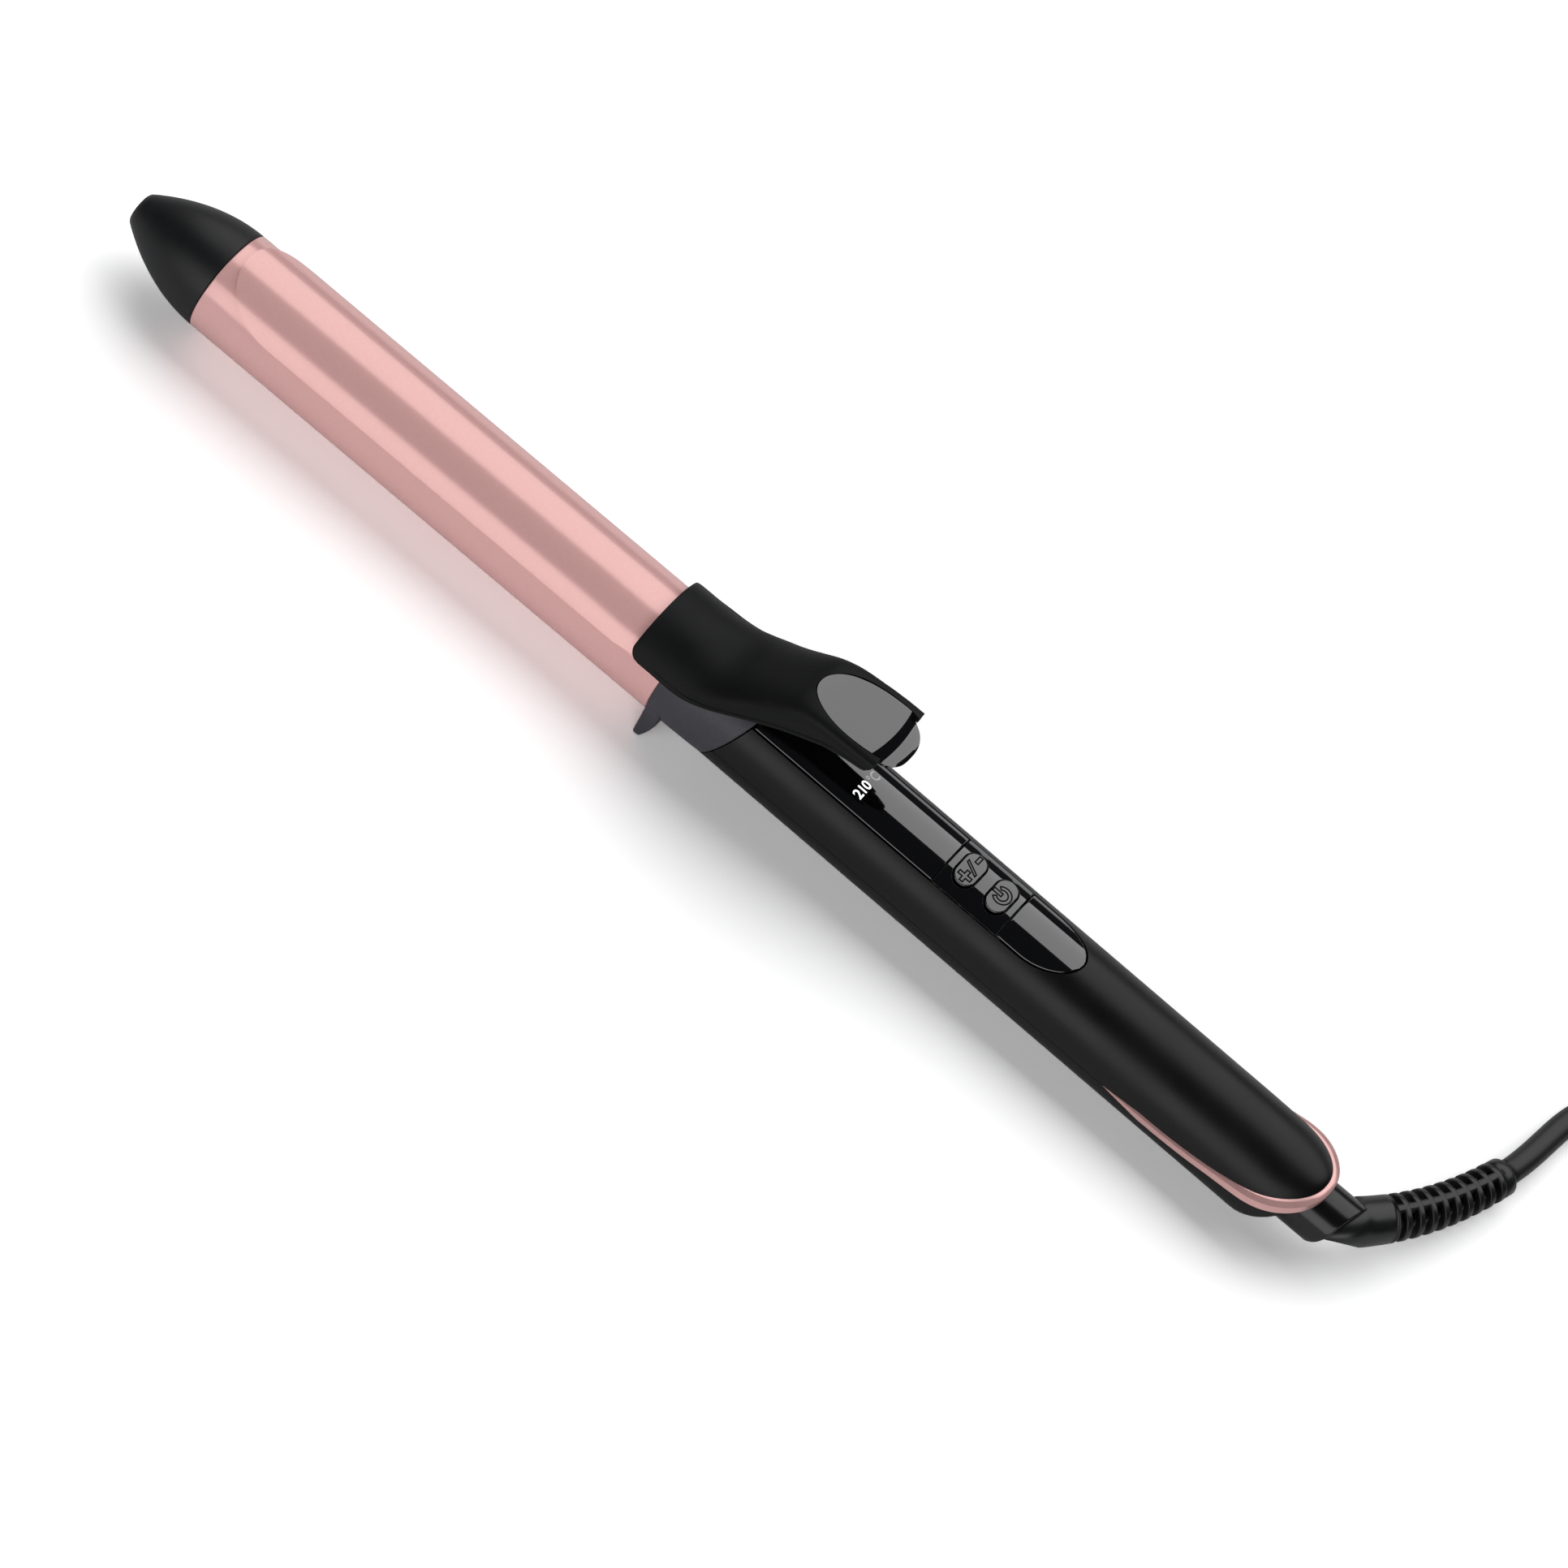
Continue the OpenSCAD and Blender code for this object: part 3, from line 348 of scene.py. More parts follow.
# Woven nylon tape: fine crossed threads about 0.5 mm apart, dull black
def tie_weave():
    material = bpy.data.materials.new("woven_nylon_tie")
    tree = empty_tree(material)
    place = add(tree, "ShaderNodeTexCoord")
    threads = [add(tree, "ShaderNodeTexWave", {"bands_direction": d}, {
        "Vector": place.outputs["Object"], "Scale": 0.31 / (0.5 * mm)}) for d in ("X", "Y")]
    weave = add(tree, "ShaderNodeMath", {"operation": "MULTIPLY"}, {
        0: threads[0].outputs["Fac"], 1: threads[1].outputs["Fac"]})
    colour = add(tree, "ShaderNodeMix", {"data_type": "RGBA"}, {
        "Factor": weave.outputs[0], 6: hex_colour("0e0e0f"), 7: hex_colour("2a2a2c")})
    bump = add(tree, "ShaderNodeBump", inputs={"Height": weave.outputs[0], "Distance": 0.1 * mm})
    shader = add(tree, "ShaderNodeBsdfPrincipled", inputs={
        "Base Color": colour.outputs[2], "Roughness": 0.85, "Normal": bump.outputs[0]})
    add(tree, "ShaderNodeOutputMaterial", inputs={"Surface": shader.outputs[0]})
    return material


# The strap's rings across its width: the outside with its edges broken, then the inside
def tie_strap():
    edge = 0.15
    middle = (bundle[0] / 2 + bundle[1] / 2, bundle_top / 2)
    outside = round_rectangle(
        bundle[0] - tie_t + 0.2, bundle[1] + tie_t - 0.5, 0, bundle_top + tie_t - 0.1, 3.6)
    inside = round_rectangle(bundle[0] + 0.2, bundle[1] - 0.5, tie_t, bundle_top - 0.1, 3)
    rows = []
    for y, inset in (
            (-tie_half_w, edge), (-tie_half_w + edge, 0), (tie_half_w - edge, 0), (tie_half_w, edge)):
        row = []
        for x, z in outside:
            p = Vector((x, coil_centre[1] + y, z))
            inwards = (Vector((middle[0], p.y, middle[1])) - p).normalized()
            row.append((p + inwards * inset) * mm)
        rows.append(row)
    for y in (tie_half_w, -tie_half_w):
        rows.append([Vector((x, coil_centre[1] + y, z)) * mm for x, z in inside])
    rows.append(rows[0])
    return rows


# Merges doubled points and turns the faces outwards
def clean(thing, outward=True):
    work = bmesh.new()
    work.from_mesh(thing.data)
    bmesh.ops.remove_doubles(work, verts=work.verts, dist=1e-7)
    bmesh.ops.dissolve_degenerate(work, edges=work.edges, dist=1e-8)
    if outward:
        bmesh.ops.recalc_face_normals(work, faces=work.faces)
    work.to_mesh(thing.data)
    work.free()
    return thing


tie = clean(loft("cord_tie_strap", tie_strap(), tie_weave(), capped=False))
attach(tie, "handle")
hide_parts("cord_tie")

# ---- Mains plug ----
# A two-pin plug moulded in one with its lead: a flat pill-shaped body of black PVC with a
# tapered neck, and two round brass pins, nickel plated, with insulating sleeves.

plug_back = (254, 90.2, 25.6)
plug_l = 34
plug_cone_l = 14
pin_r = 2
pin_l = 19
pin_gap = 18.6


def plug_rows():
    rows = []
    sides = 48
    profile = [
        (0, 3.1, 3.1), (0.3, 3.5, 3.5), (plug_cone_l - 3, 5.6, 5.6), (plug_cone_l - 1.4, 8, 6),
        (plug_cone_l, 13, 6.4), (plug_cone_l + 1.6, 16.4, 6.7), (plug_cone_l + 4, 17.5, 6.8),
        (plug_l - 1.2, 17.65, 6.8), (plug_l - 0.3, 17.4, 6.55), (plug_l, 16.8, 6),
    ]
    for x, half_w, half_t in profile:
        power = 1 if half_w - half_t < 2 else 0.62
        ring = []
        for k in range(sides):
            a = 2 * math.pi * k / sides
            c, s = math.cos(a), math.sin(a)
            ring.append(Vector((plug_back[0] + x,
                                plug_back[1] + half_w * math.copysign(abs(c) ** power, c),
                                plug_back[2] + half_t * math.copysign(abs(s) ** (0.5 + power / 2), s))) * mm)
        rows.append(ring)
    return rows


def nickel_plate():
    material = bpy.data.materials.new("nickel_plated_brass")
    tree = empty_tree(material)
    place = add(tree, "ShaderNodeTexCoord")
    haze = add(tree, "ShaderNodeTexNoise", inputs={"Vector": place.outputs["Object"], "Scale": 1 / (2 * mm)})
    rough = add(tree, "ShaderNodeMapRange", inputs={
        "Value": haze.outputs["Fac"], "To Min": 0.18, "To Max": 0.34})
    shader = add(tree, "ShaderNodeBsdfPrincipled", inputs={
        "Base Color": hex_colour("cfc9bd"), "Metallic": 1.0, "Roughness": rough.outputs[0]})
    add(tree, "ShaderNodeOutputMaterial", inputs={"Surface": shader.outputs[0]})
    return material


# Rings of a turned piece from its profile: (distance along, radius) pairs
def turned_rows(centre, ahead, profile, sides=48):
    ahead = Vector(ahead).normalized()
    first = ahead.orthogonal().normalized()
    second = ahead.cross(first)
    return [[Vector(centre) + (ahead * x + (first * math.cos(a) + second * math.sin(a)) * r) * mm
             for a in (2 * math.pi * k / sides for k in range(sides))] for x, r in profile]


plug = clean(loft("plug_moulding", plug_rows(), pvc))
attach(plug, "handle")
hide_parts("plug_body")
nickel = nickel_plate()
for side, name in ((-1, "plug_pin_near"), (1, "plug_pin_far")):
    base = (Vector(plug_back) + Vector((plug_l, side * pin_gap / 2, 0))) * mm
    pin = clean(loft(name, turned_rows(base, (1, 0, 0), [
        (-1, pin_r), (9.6, pin_r), (9.8, pin_r - 0.12), (pin_l - 1.6, pin_r - 0.12),
        (pin_l - 0.5, pin_r - 0.7), (pin_l, pin_r - 1.3)], 32), nickel))
    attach(pin, "handle")
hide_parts("plug_pins")

# ---- Strain relief ----
# A tapered boot of black rubber moulded over the lead. Behind its smooth root, nine slots
# on each side leave ribs joined by a spine above and below, so that it bends evenly.

boot_foot = Vector((168.6, 0, 11.1)) * mm
boot_leave = Vector((0.66, 0.74, -0.1)) * 17 * mm
boot_arrive = Vector((0.25, 0.96, -0.12)) * 16 * mm
boot_r0 = 5.7
boot_r1 = 4.4
boot_smooth_l = 12.6
boot_ring_l = 3.4
rib_count = 9


# The bend that the boot has taken, as even steps along a curve from its foot to its end
def boot_curve(count=96):
    a, b = boot_foot + boot_leave, boot_end - boot_arrive
    line = []
    for k in range(count + 1):
        t = k / count
        line.append(boot_foot * (1 - t) ** 3 + a * 3 * t * (1 - t) ** 2 + b * 3 * t * t * (1 - t)
                    + boot_end * t ** 3)
    return line


boot_line = boot_curve()
boot_l = sum((q - p).length for p, q in zip(boot_line, boot_line[1:])) / mm
rib_pitch = (boot_l - boot_smooth_l - boot_ring_l) / rib_count
slot_l = 1.95


# A point at a distance along the boot's bend, and beside and above its middle line
def boot_point(s, across, above):
    k = min(len(boot_line) - 2, max(0, int(s / boot_l * (len(boot_line) - 1))))
    walked = k * boot_l / (len(boot_line) - 1)
    ahead = (boot_line[min(k + 2, len(boot_line) - 1)] - boot_line[max(k - 1, 0)]).normalized()
    up_here = (Vector((0, 0, 1)) - ahead * ahead.z).normalized()
    return boot_line[k] + (ahead * (s - walked) + ahead.cross(up_here) * across + up_here * above) * mm


def boot_radius(s):
    return boot_r0 + (boot_r1 - boot_r0) * s / boot_l


def boot_ring(s, r, sides=48):
    return [boot_point(s, r * math.cos(2 * math.pi * k / sides), r * math.sin(2 * math.pi * k / sides))
            for k in range(sides)]


# Black thermoplastic rubber: a shade greyer than the lead, with a broad soft sheen
def boot_rubber():
    material = bpy.data.materials.new("moulded_rubber_boot")
    tree = empty_tree(material)
    place = add(tree, "ShaderNodeTexCoord")
    bloom = add(tree, "ShaderNodeTexNoise", inputs={
        "Vector": place.outputs["Object"], "Scale": 1 / (4 * mm), "Detail": 4})
    grain = add(tree, "ShaderNodeTexNoise", inputs={
        "Vector": place.outputs["Object"], "Scale": 1 / (0.25 * mm)})
    colour = add(tree, "ShaderNodeMix", {"data_type": "RGBA"}, {
        "Factor": bloom.outputs["Fac"], 6: hex_colour("101111"), 7: hex_colour("191a1a")})
    rough = add(tree, "ShaderNodeMapRange", inputs={
        "Value": bloom.outputs["Fac"], "To Min": 0.28, "To Max": 0.4})
    bump = add(tree, "ShaderNodeBump", inputs={
        "Height": grain.outputs["Fac"], "Strength": 0.3, "Distance": 0.02 * mm})
    shader = add(tree, "ShaderNodeBsdfPrincipled", inputs={
        "Base Color": colour.outputs[2], "Roughness": rough.outputs[0], "Normal": bump.outputs[0]})
    add(tree, "ShaderNodeOutputMaterial", inputs={"Surface": shader.outputs[0]})
    return material


# Ribs: rounded rings instanced on a line of points that taper with the boot
def rib_tree(rubber):
    tree = bpy.data.node_groups.new("boot_ribs", "GeometryNodeTree")
    tree.interface.new_socket("Geometry", in_out="OUTPUT", socket_type="NodeSocketGeometry")
    for name, kind, value in (
            ("Count", "NodeSocketInt", rib_count), ("Pitch", "NodeSocketFloat", rib_pitch * mm),
            ("Start", "NodeSocketFloat", (boot_smooth_l + slot_l) * mm),
            ("Thickness", "NodeSocketFloat", (rib_pitch - slot_l) * mm),
            ("Radius", "NodeSocketFloat", 1.0 * mm), ("Taper", "NodeSocketFloat", 0.0)):
        tree.interface.new_socket(name, in_out="INPUT", socket_type=kind).default_value = value
    given = tree.nodes.new("NodeGroupInput")
    line = add(tree, "GeometryNodeMeshLine", {"mode": "OFFSET"}, {"Count": given.outputs["Count"]})
    offset = add(tree, "ShaderNodeCombineXYZ", inputs={"Z": given.outputs["Pitch"]})
    start = add(tree, "ShaderNodeCombineXYZ", inputs={"Z": given.outputs["Start"]})
    tree.links.new(offset.outputs[0], line.inputs["Offset"])
    tree.links.new(start.outputs[0], line.inputs["Start Location"])
    profile = add(tree, "GeometryNodeCurvePrimitiveQuadrilateral", inputs={
        "Width": 2.1 * mm, "Height": given.outputs["Thickness"]})
    rounded = add(tree, "GeometryNodeFilletCurve", {"mode": "POLY"}, {
        "Curve": profile.outputs[0], "Count": 3, "Radius": 0.28 * mm})
    inset = add(tree, "ShaderNodeMath", {"operation": "SUBTRACT"}, {0: given.outputs["Radius"], 1: 1.05 * mm})
    circle = add(tree, "GeometryNodeCurvePrimitiveCircle", inputs={
        "Resolution": 40, "Radius": inset.outputs[0]})
    rib = add(tree, "GeometryNodeCurveToMesh", inputs={
        "Curve": circle.outputs[0], "Profile Curve": rounded.outputs[0]})
    index = add(tree, "GeometryNodeInputIndex")
    drop = add(tree, "ShaderNodeMath", {"operation": "MULTIPLY"}, {
        0: index.outputs[0], 1: given.outputs["Taper"]})
    size = add(tree, "ShaderNodeMath", {"operation": "SUBTRACT"}, {0: 1.0, 1: drop.outputs[0]})
    scale = add(tree, "ShaderNodeCombineXYZ", inputs={"X": size.outputs[0], "Y": size.outputs[0], "Z": 1.0})
    ribs = add(tree, "GeometryNodeInstanceOnPoints", inputs={
        "Points": line.outputs[0], "Instance": rib.outputs[0], "Scale": scale.outputs[0]})
    real = add(tree, "GeometryNodeRealizeInstances", inputs={"Geometry": ribs.outputs[0]})
    shaded = add(tree, "GeometryNodeSetShadeSmooth", inputs={0: real.outputs[0]})
    painted = add(tree, "GeometryNodeSetMaterial", inputs={"Geometry": shaded.outputs[0], "Material": rubber})
    out = tree.nodes.new("NodeGroupOutput")
    tree.links.new(painted.outputs[0], out.inputs[0])
    return tree


# A plain mesh piece from what a Geometry Nodes tree makes with the given inputs
def grown(name, tree, values):
    holder = bpy.data.objects.new(name + "_source", bpy.data.meshes.new(name + "_source"))
    bpy.context.collection.objects.link(holder)
    modifier = holder.modifiers.new("grow", "NODES")
    modifier.node_group = tree
    for item in tree.interface.items_tree:
        if item.in_out == "INPUT" and item.name in values:
            modifier[item.identifier] = values[item.name]
    bpy.context.view_layer.update()
    made = bpy.data.meshes.new_from_object(holder.evaluated_get(bpy.context.evaluated_depsgraph_get()))
    bpy.data.objects.remove(holder)
    thing = bpy.data.objects.new(name, made)
    bpy.context.collection.objects.link(thing)
    return thing


# Joins pieces of one material into the first of them
def join(first, *others):
    work = bmesh.new()
    for thing in (first, *others):
        work.from_mesh(thing.data)
    work.to_mesh(first.data)
    work.free()
    for thing in others:
        bpy.data.objects.remove(thing)
    return first


# The neck's slanted end: how far back it lies at a height over the swivel's axis
neck_axis = -3.5
neck_r = 7
seam_x = 329
neck_end_x = 343.6


def neck_end(y, z):
    slant = 5.6 * ease((4.5 - z) / 15) + 0.12 * max(0, -z)
    return neck_end_x - slant + 1.6 * y / neck_r - 0.6


# The smooth root comes out of the neck's mouth at a mitre and runs on to the ribs
def boot_root_rows():
    mouth = []
    for k in range(48):
        a = 2 * math.pi * k / 48
        y, z = -5.6 * math.cos(a), 5.6 * math.sin(a)
        mouth.append(at(neck_end(y, z) - 0.8, y, neck_axis + z))
    rows = [mouth]
    rows += [boot_ring(s, boot_radius(s)) for s in (5.5, 7, 8.5, 10, 11.5, 13, boot_smooth_l)]
    rows.append(boot_ring(boot_smooth_l + 0.15, boot_radius(boot_smooth_l) - 0.3))
    return rows


rubber = boot_rubber()
root = loft("boot", boot_root_rows(), rubber)
along_ribs = [boot_smooth_l - 1 + (boot_l - boot_smooth_l) * k / 24 for k in range(25)]
core = loft("boot_core", [boot_ring(s, 2.4) for s in along_ribs], rubber)
spines = []
for sign in (-1, 1):
    rows = []
    for s in along_ribs[:-1]:
        r = boot_radius(s) - 0.08
        rows.append([boot_point(s, sign * a, sign * b) for a, b in (
            (-0.9, r - 2.6), (0.9, r - 2.6), (0.9, r - 0.2), (0.6, r + 0.02), (0, r + 0.08), (-0.6, r + 0.02),
            (-0.9, r - 0.2))])
    spines.append(loft("boot_spine", rows, rubber))
last_r = boot_radius(boot_l)
end_ring = loft("boot_end", [boot_ring(s, r) for s, r in (
    (boot_l - boot_ring_l, 3), (boot_l - boot_ring_l, last_r - 0.2),
    (boot_l - boot_ring_l + 0.2, last_r + 0.02), (boot_l - 0.45, last_r - 0.02),
    (boot_l - 0.1, last_r - 0.25), (boot_l, last_r - 0.6), (boot_l, 2.9))], rubber)
taper = (boot_r0 - boot_r1) / boot_l * rib_pitch / boot_radius(boot_smooth_l)
ribs = grown("boot_ribs", rib_tree(rubber),
             {"Radius": boot_radius(boot_smooth_l + slot_l) * mm, "Taper": taper})
for vertex in ribs.data.vertices:
    x, y, z = vertex.co / mm
    vertex.co = boot_point(z + (rib_pitch - slot_l) / 2, x, y)
boot = clean(join(root, core, *spines, end_ring, ribs))
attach(boot, "swivel")
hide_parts("strain_relief")

# ---- Swivel ----
# A short fixed bush of black nylon comes out of the slanted stern, and the neck turns in
# it on a journal. The neck's end is cut on a slant where the boot bends away.


# Black glass-filled nylon: smooth tool finish, satin
def swivel_nylon():
    material = bpy.data.materials.new("satin_nylon")
    tree = empty_tree(material)
    place = add(tree, "ShaderNodeTexCoord")
    grain = add(tree, "ShaderNodeTexNoise", inputs={
        "Vector": place.outputs["Object"], "Scale": 1 / (0.3 * mm), "Detail": 3})
    rough = add(tree, "ShaderNodeMapRange", inputs={
        "Value": grain.outputs["Fac"], "To Min": 0.18, "To Max": 0.26})
    bump = add(tree, "ShaderNodeBump", inputs={
        "Height": grain.outputs["Fac"], "Strength": 0.1, "Distance": 0.01 * mm})
    shader = add(tree, "ShaderNodeBsdfPrincipled", inputs={
        "Base Color": hex_colour("0b0b0c"), "Roughness": rough.outputs[0], "Normal": bump.outputs[0]})
    add(tree, "ShaderNodeOutputMaterial", inputs={"Surface": shader.outputs[0]})
    return material


def neck_rows():
    sides = 72
    rows = []
    for t, shrink in (
            (0, 4.5), (0, 0.15), (0.01, 0), (0.3, 0), (0.6, 0), (0.93, 0), (0.98, 0.05),
            (0.995, 0.18), (1, 0.45), (1, 1.1), (0.94, 1.5), (0.9, 3), (0.9, 6.6)):
        r = neck_r - shrink
        row = []
        for k in range(sides):
            a = 2 * math.pi * k / sides
            y, z = r * math.cos(a), r * math.sin(a)
            end = neck_end(y * neck_r / r, z * neck_r / r) if shrink < 1 else neck_end(y, z)
            row.append(at(seam_x + 0.1 + (end - seam_x - 0.1) * t, y, neck_axis + z))
        rows.append(row)
    return rows


nylon = swivel_nylon()
neck = clean(loft("swivel_turning_neck", neck_rows(), nylon))
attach(neck, "swivel")
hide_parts("swivel_neck")
bush = clean(loft("swivel_fixed_bush", turned_rows(at(314, 0, neck_axis), (1, 0, 0), [
    (0, 4.7), (0, 6.8), (0.2, neck_r), (14.7, neck_r), (14.85, neck_r - 0.15), (14.85, 4.7),
    (0, 4.7)], 72), nylon, capped=False))
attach(bush, "handle")
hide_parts("swivel_bush")

# ---- Lower half of the case ----
# Injection-moulded ABS, matt black with a fine spark-eroded texture. Under the tail the
# stern is cut on a slant, and the swivel's bush comes out through a round hole in it.

droop = math.radians(0.92)
handle_x = 173.4
handle_drop = 0.23
handle_r = 12.2
handle_l = 161
tail_l = 14
tail_x = handle_l - tail_l
joint_slope = 0.42
joint_fade = 40
stern_x = 143.8
stern_slope = 1.064
ring_x = 110.6
ring_curve_x = 121.6
ring_rise = 7.3
ring_half_h = 1.2
seam = 0.07
shell_t = 1.2


# A point of the handle's own frame, which droops a little from its joint with the collar
def in_handle(x, y, z):
    return at(handle_x + x * math.cos(droop) + z * math.sin(droop), y,
              -handle_drop - x * math.sin(droop) + z * math.cos(droop))


# The trim ring's middle height and half height along the handle
def ring_mid(x):
    return ring_rise * (max(0, x - ring_curve_x) / (handle_l - ring_curve_x)) ** 2


def ring_half(x):
    return ring_half_h * min(1, max(0, (x - ring_x) / 10))


# Half the case's width at a height, narrowed along the round tail
def flank(x, z):
    u = min(1, max(0, x - tail_x) / tail_l)
    return math.sqrt(max(0, handle_r ** 2 - z * z)) * (1 - u ** 2.4) ** (1 / 2.4)


# The slanted joint at the handle's front shears the first rows
def sheared(x, y, z):
    return in_handle(x + joint_slope * z * max(0, 1 - x / joint_fade), y, z)


# Places along a piece: spans of even steps, or of steps that close up towards a round end
def stations(*spans):
    places = [spans[0][0]]
    for x0, x1, count, closing in spans:
        for k in range(1, count + 1):
            t = k / count
            places.append(x0 + (x1 - x0) * (math.sin(math.pi / 2 * t) if closing else t))
    return places


# Moulded plastic: a spark-eroded grain in the tool leaves a fine even texture
def moulded_plastic(name, dark, light, grain, depth, smooth_to, rough_to, shine=0.5):
    material = bpy.data.materials.new(name)
    tree = empty_tree(material)
    place = add(tree, "ShaderNodeTexCoord")
    pits = add(tree, "ShaderNodeTexNoise", inputs={
        "Vector": place.outputs["Object"], "Scale": 1 / (grain * mm), "Detail": 2})
    flow = add(tree, "ShaderNodeTexNoise", inputs={
        "Vector": place.outputs["Object"], "Scale": 1 / (14 * mm), "Detail": 3})
    both = add(tree, "ShaderNodeMath", {"operation": "MULTIPLY"}, {
        0: pits.outputs["Fac"], 1: flow.outputs["Fac"]})
    shade = add(tree, "ShaderNodeMapRange", inputs={
        "Value": both.outputs[0], "From Min": 0.12, "From Max": 0.4})
    colour = add(tree, "ShaderNodeMix", {"data_type": "RGBA"}, {
        "Factor": shade.outputs[0], 6: hex_colour(dark), 7: hex_colour(light)})
    rough = add(tree, "ShaderNodeMapRange", inputs={
        "Value": flow.outputs["Fac"], "From Min": 0.3, "From Max": 0.7, "To Min": smooth_to,
        "To Max": rough_to})
    bump = add(tree, "ShaderNodeBump", inputs={
        "Height": pits.outputs["Fac"], "Strength": 0.5, "Distance": depth * mm})
    shader = add(tree, "ShaderNodeBsdfPrincipled", inputs={
        "Base Color": colour.outputs[2], "Roughness": rough.outputs[0], "Normal": bump.outputs[0],
        "Specular IOR Level": shine})
    add(tree, "ShaderNodeOutputMaterial", inputs={"Surface": shader.outputs[0]})
    return material


# Gives a skin its wall, inwards, and breaks its edges
def walled(thing, wall, edge, segments=2):
    if wall:
        solid = thing.modifiers.new("wall", "SOLIDIFY")
        solid.thickness = wall * mm
        solid.offset = -1
    rounding = thing.modifiers.new("edges", "BEVEL")
    rounding.width = edge * mm
    rounding.segments = segments
    rounding.limit_method = "ANGLE"
    rounding.angle_limit = math.radians(35)
    rounding.harden_normals = True
    return thing


# Fixes a piece's modifiers in its mesh
def baked(thing):
    seen = bpy.context.evaluated_depsgraph_get()
    made = bpy.data.meshes.new_from_object(thing.evaluated_get(seen))
    thing.modifiers.clear()
    thing.data = made
    return thing


# Cuts one closed piece out of another
def cut(thing, tool):
    hole = thing.modifiers.new("hole", "BOOLEAN")
    hole.operation = "DIFFERENCE"
    hole.solver = "EXACT"
    hole.use_self = True
    hole.object = tool
    baked(thing)
    bpy.data.objects.remove(tool)
    return thing


# The larger of two numbers, rounded where they meet
def soft_max(a, b, over):
    near = max(over - abs(a - b), 0) / over
    return max(a, b) + near * near * over / 4


def lower_rows():
    sides = 64
    rows = []
    for x in stations(
            (0, joint_fade, 10, False), (joint_fade, ring_x, 10, False), (ring_x, ring_x + 10, 5, False),
            (ring_x + 10, stern_x - 2, 8, False), (stern_x - 2, tail_x, 6, False),
            (tail_x, handle_l, 20, True)):
        top = ring_mid(x) - ring_half(x) - seam
        first = math.asin(top / handle_r)
        stern = -handle_r + stern_slope * (x - stern_x)
        row = []
        for k in range(sides + 1):
            a = math.pi - first + (math.pi + 2 * first) * k / sides
            z = min(top, soft_max(handle_r * math.sin(a), stern, 1.2))
            wide = min(handle_r * abs(math.cos(a)), math.sqrt(max(0, handle_r ** 2 - z * z)))
            row.append(sheared(x, math.copysign(wide * flank(x, 0) / handle_r, math.cos(a)), z))
        rows.append(row)
    return rows


abs_case = moulded_plastic("matt_black_abs", "060606", "0a0a0a", 0.32, 0.02, 0.34, 0.42, 0.29)
lower = loft("case_lower_half", lower_rows(), abs_case, closed=False, capped=False)
walled(clean(lower, outward=False), shell_t, 0.12)
hole_r = neck_r + 0.12
bush_hole = loft(
    "bush_hole", turned_rows(at(317, 0, neck_axis), (1, 0, 0), [(0, hole_r), (30, hole_r)], 96), abs_case)
clean(bush_hole)
cut(baked(lower), bush_hole)
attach(lower, "handle")
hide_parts("handle_lower_shell")

# ---- Upper half of the case ----
# The same moulding material. A long round-ended opening takes the control panel, and
# behind it the roof runs down to the tail over the trim ring.

crown_l = 22.4
panel_half_w = 7.2
panel_gap = 0.26
inlay_end = 91.1
inlay_nose = 12
roof_inset = 0.15
# From here, over this length, the roof draws in and the ring stands prouder
swell_x = 138
swell_l = 18


# The ridge's height along the handle
def crown(x):
    u = max(0, x - handle_l + crown_l) / crown_l
    low = ring_rise + ring_half_h
    return low + (handle_r - low) * math.sqrt(max(0, 1 - u * u))


# Half the width of the panel's opening
def opening(x):
    nose_x = inlay_end - inlay_nose
    u = max(0, x - nose_x) / (inlay_nose + panel_gap)
    return (panel_half_w + panel_gap) * math.sqrt(max(0, 1 - u * u))


# One flank of the roof, from the opening or the ridge down to the parting line
def upper_rows(side):
    steps = 24
    rows = []
    for x in stations(
            (0, joint_fade, 10, False), (joint_fade, inlay_end - inlay_nose, 10, False),
            (inlay_end - inlay_nose, inlay_end + panel_gap, 12, True),
            (inlay_end + panel_gap, ring_x, 5, False), (ring_x, ring_x + 10, 5, False),
            (ring_x + 10, handle_l - crown_l, 6, False), (handle_l - crown_l, tail_x, 5, False),
            (tail_x, handle_l, 20, True)):
        low = ring_mid(x) + ring_half(x) + seam
        first = math.asin(low / handle_r)
        inset = roof_inset * ease((x - swell_x) / swell_l)
        wide = max(0, flank(x, low) - inset)
        last = math.acos(min(1, opening(x) * math.cos(first) / max(wide, 0.001)))
        row = []
        for k in range(steps + 1):
            a = last + (first - last) * k / steps
            z = low + (crown(x) - low) * (math.sin(a) - math.sin(first)) / (1 - math.sin(first))
            row.append(sheared(x - inset * ease((x - tail_x) / tail_l),
                               side * wide * math.cos(a) / math.cos(first), z))
        rows.append(row if side < 0 else row[::-1])
    return rows


upper = join(loft("case_upper_half", upper_rows(-1), abs_case, closed=False, capped=False),
             loft("case_upper_flank", upper_rows(1), abs_case, closed=False, capped=False))
walled(clean(upper, outward=False), shell_t, 0.12)
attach(upper, "handle")
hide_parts("handle_upper_shell")

# ---- Trim ring ----
# A thin horseshoe between the two halves of the case, moulded and then metallised in rose
# gold, satin. It tapers in along both flanks, and climbs and stands prouder round the tail.

ring_proud = 0.3
ring_tail_proud = 1.4


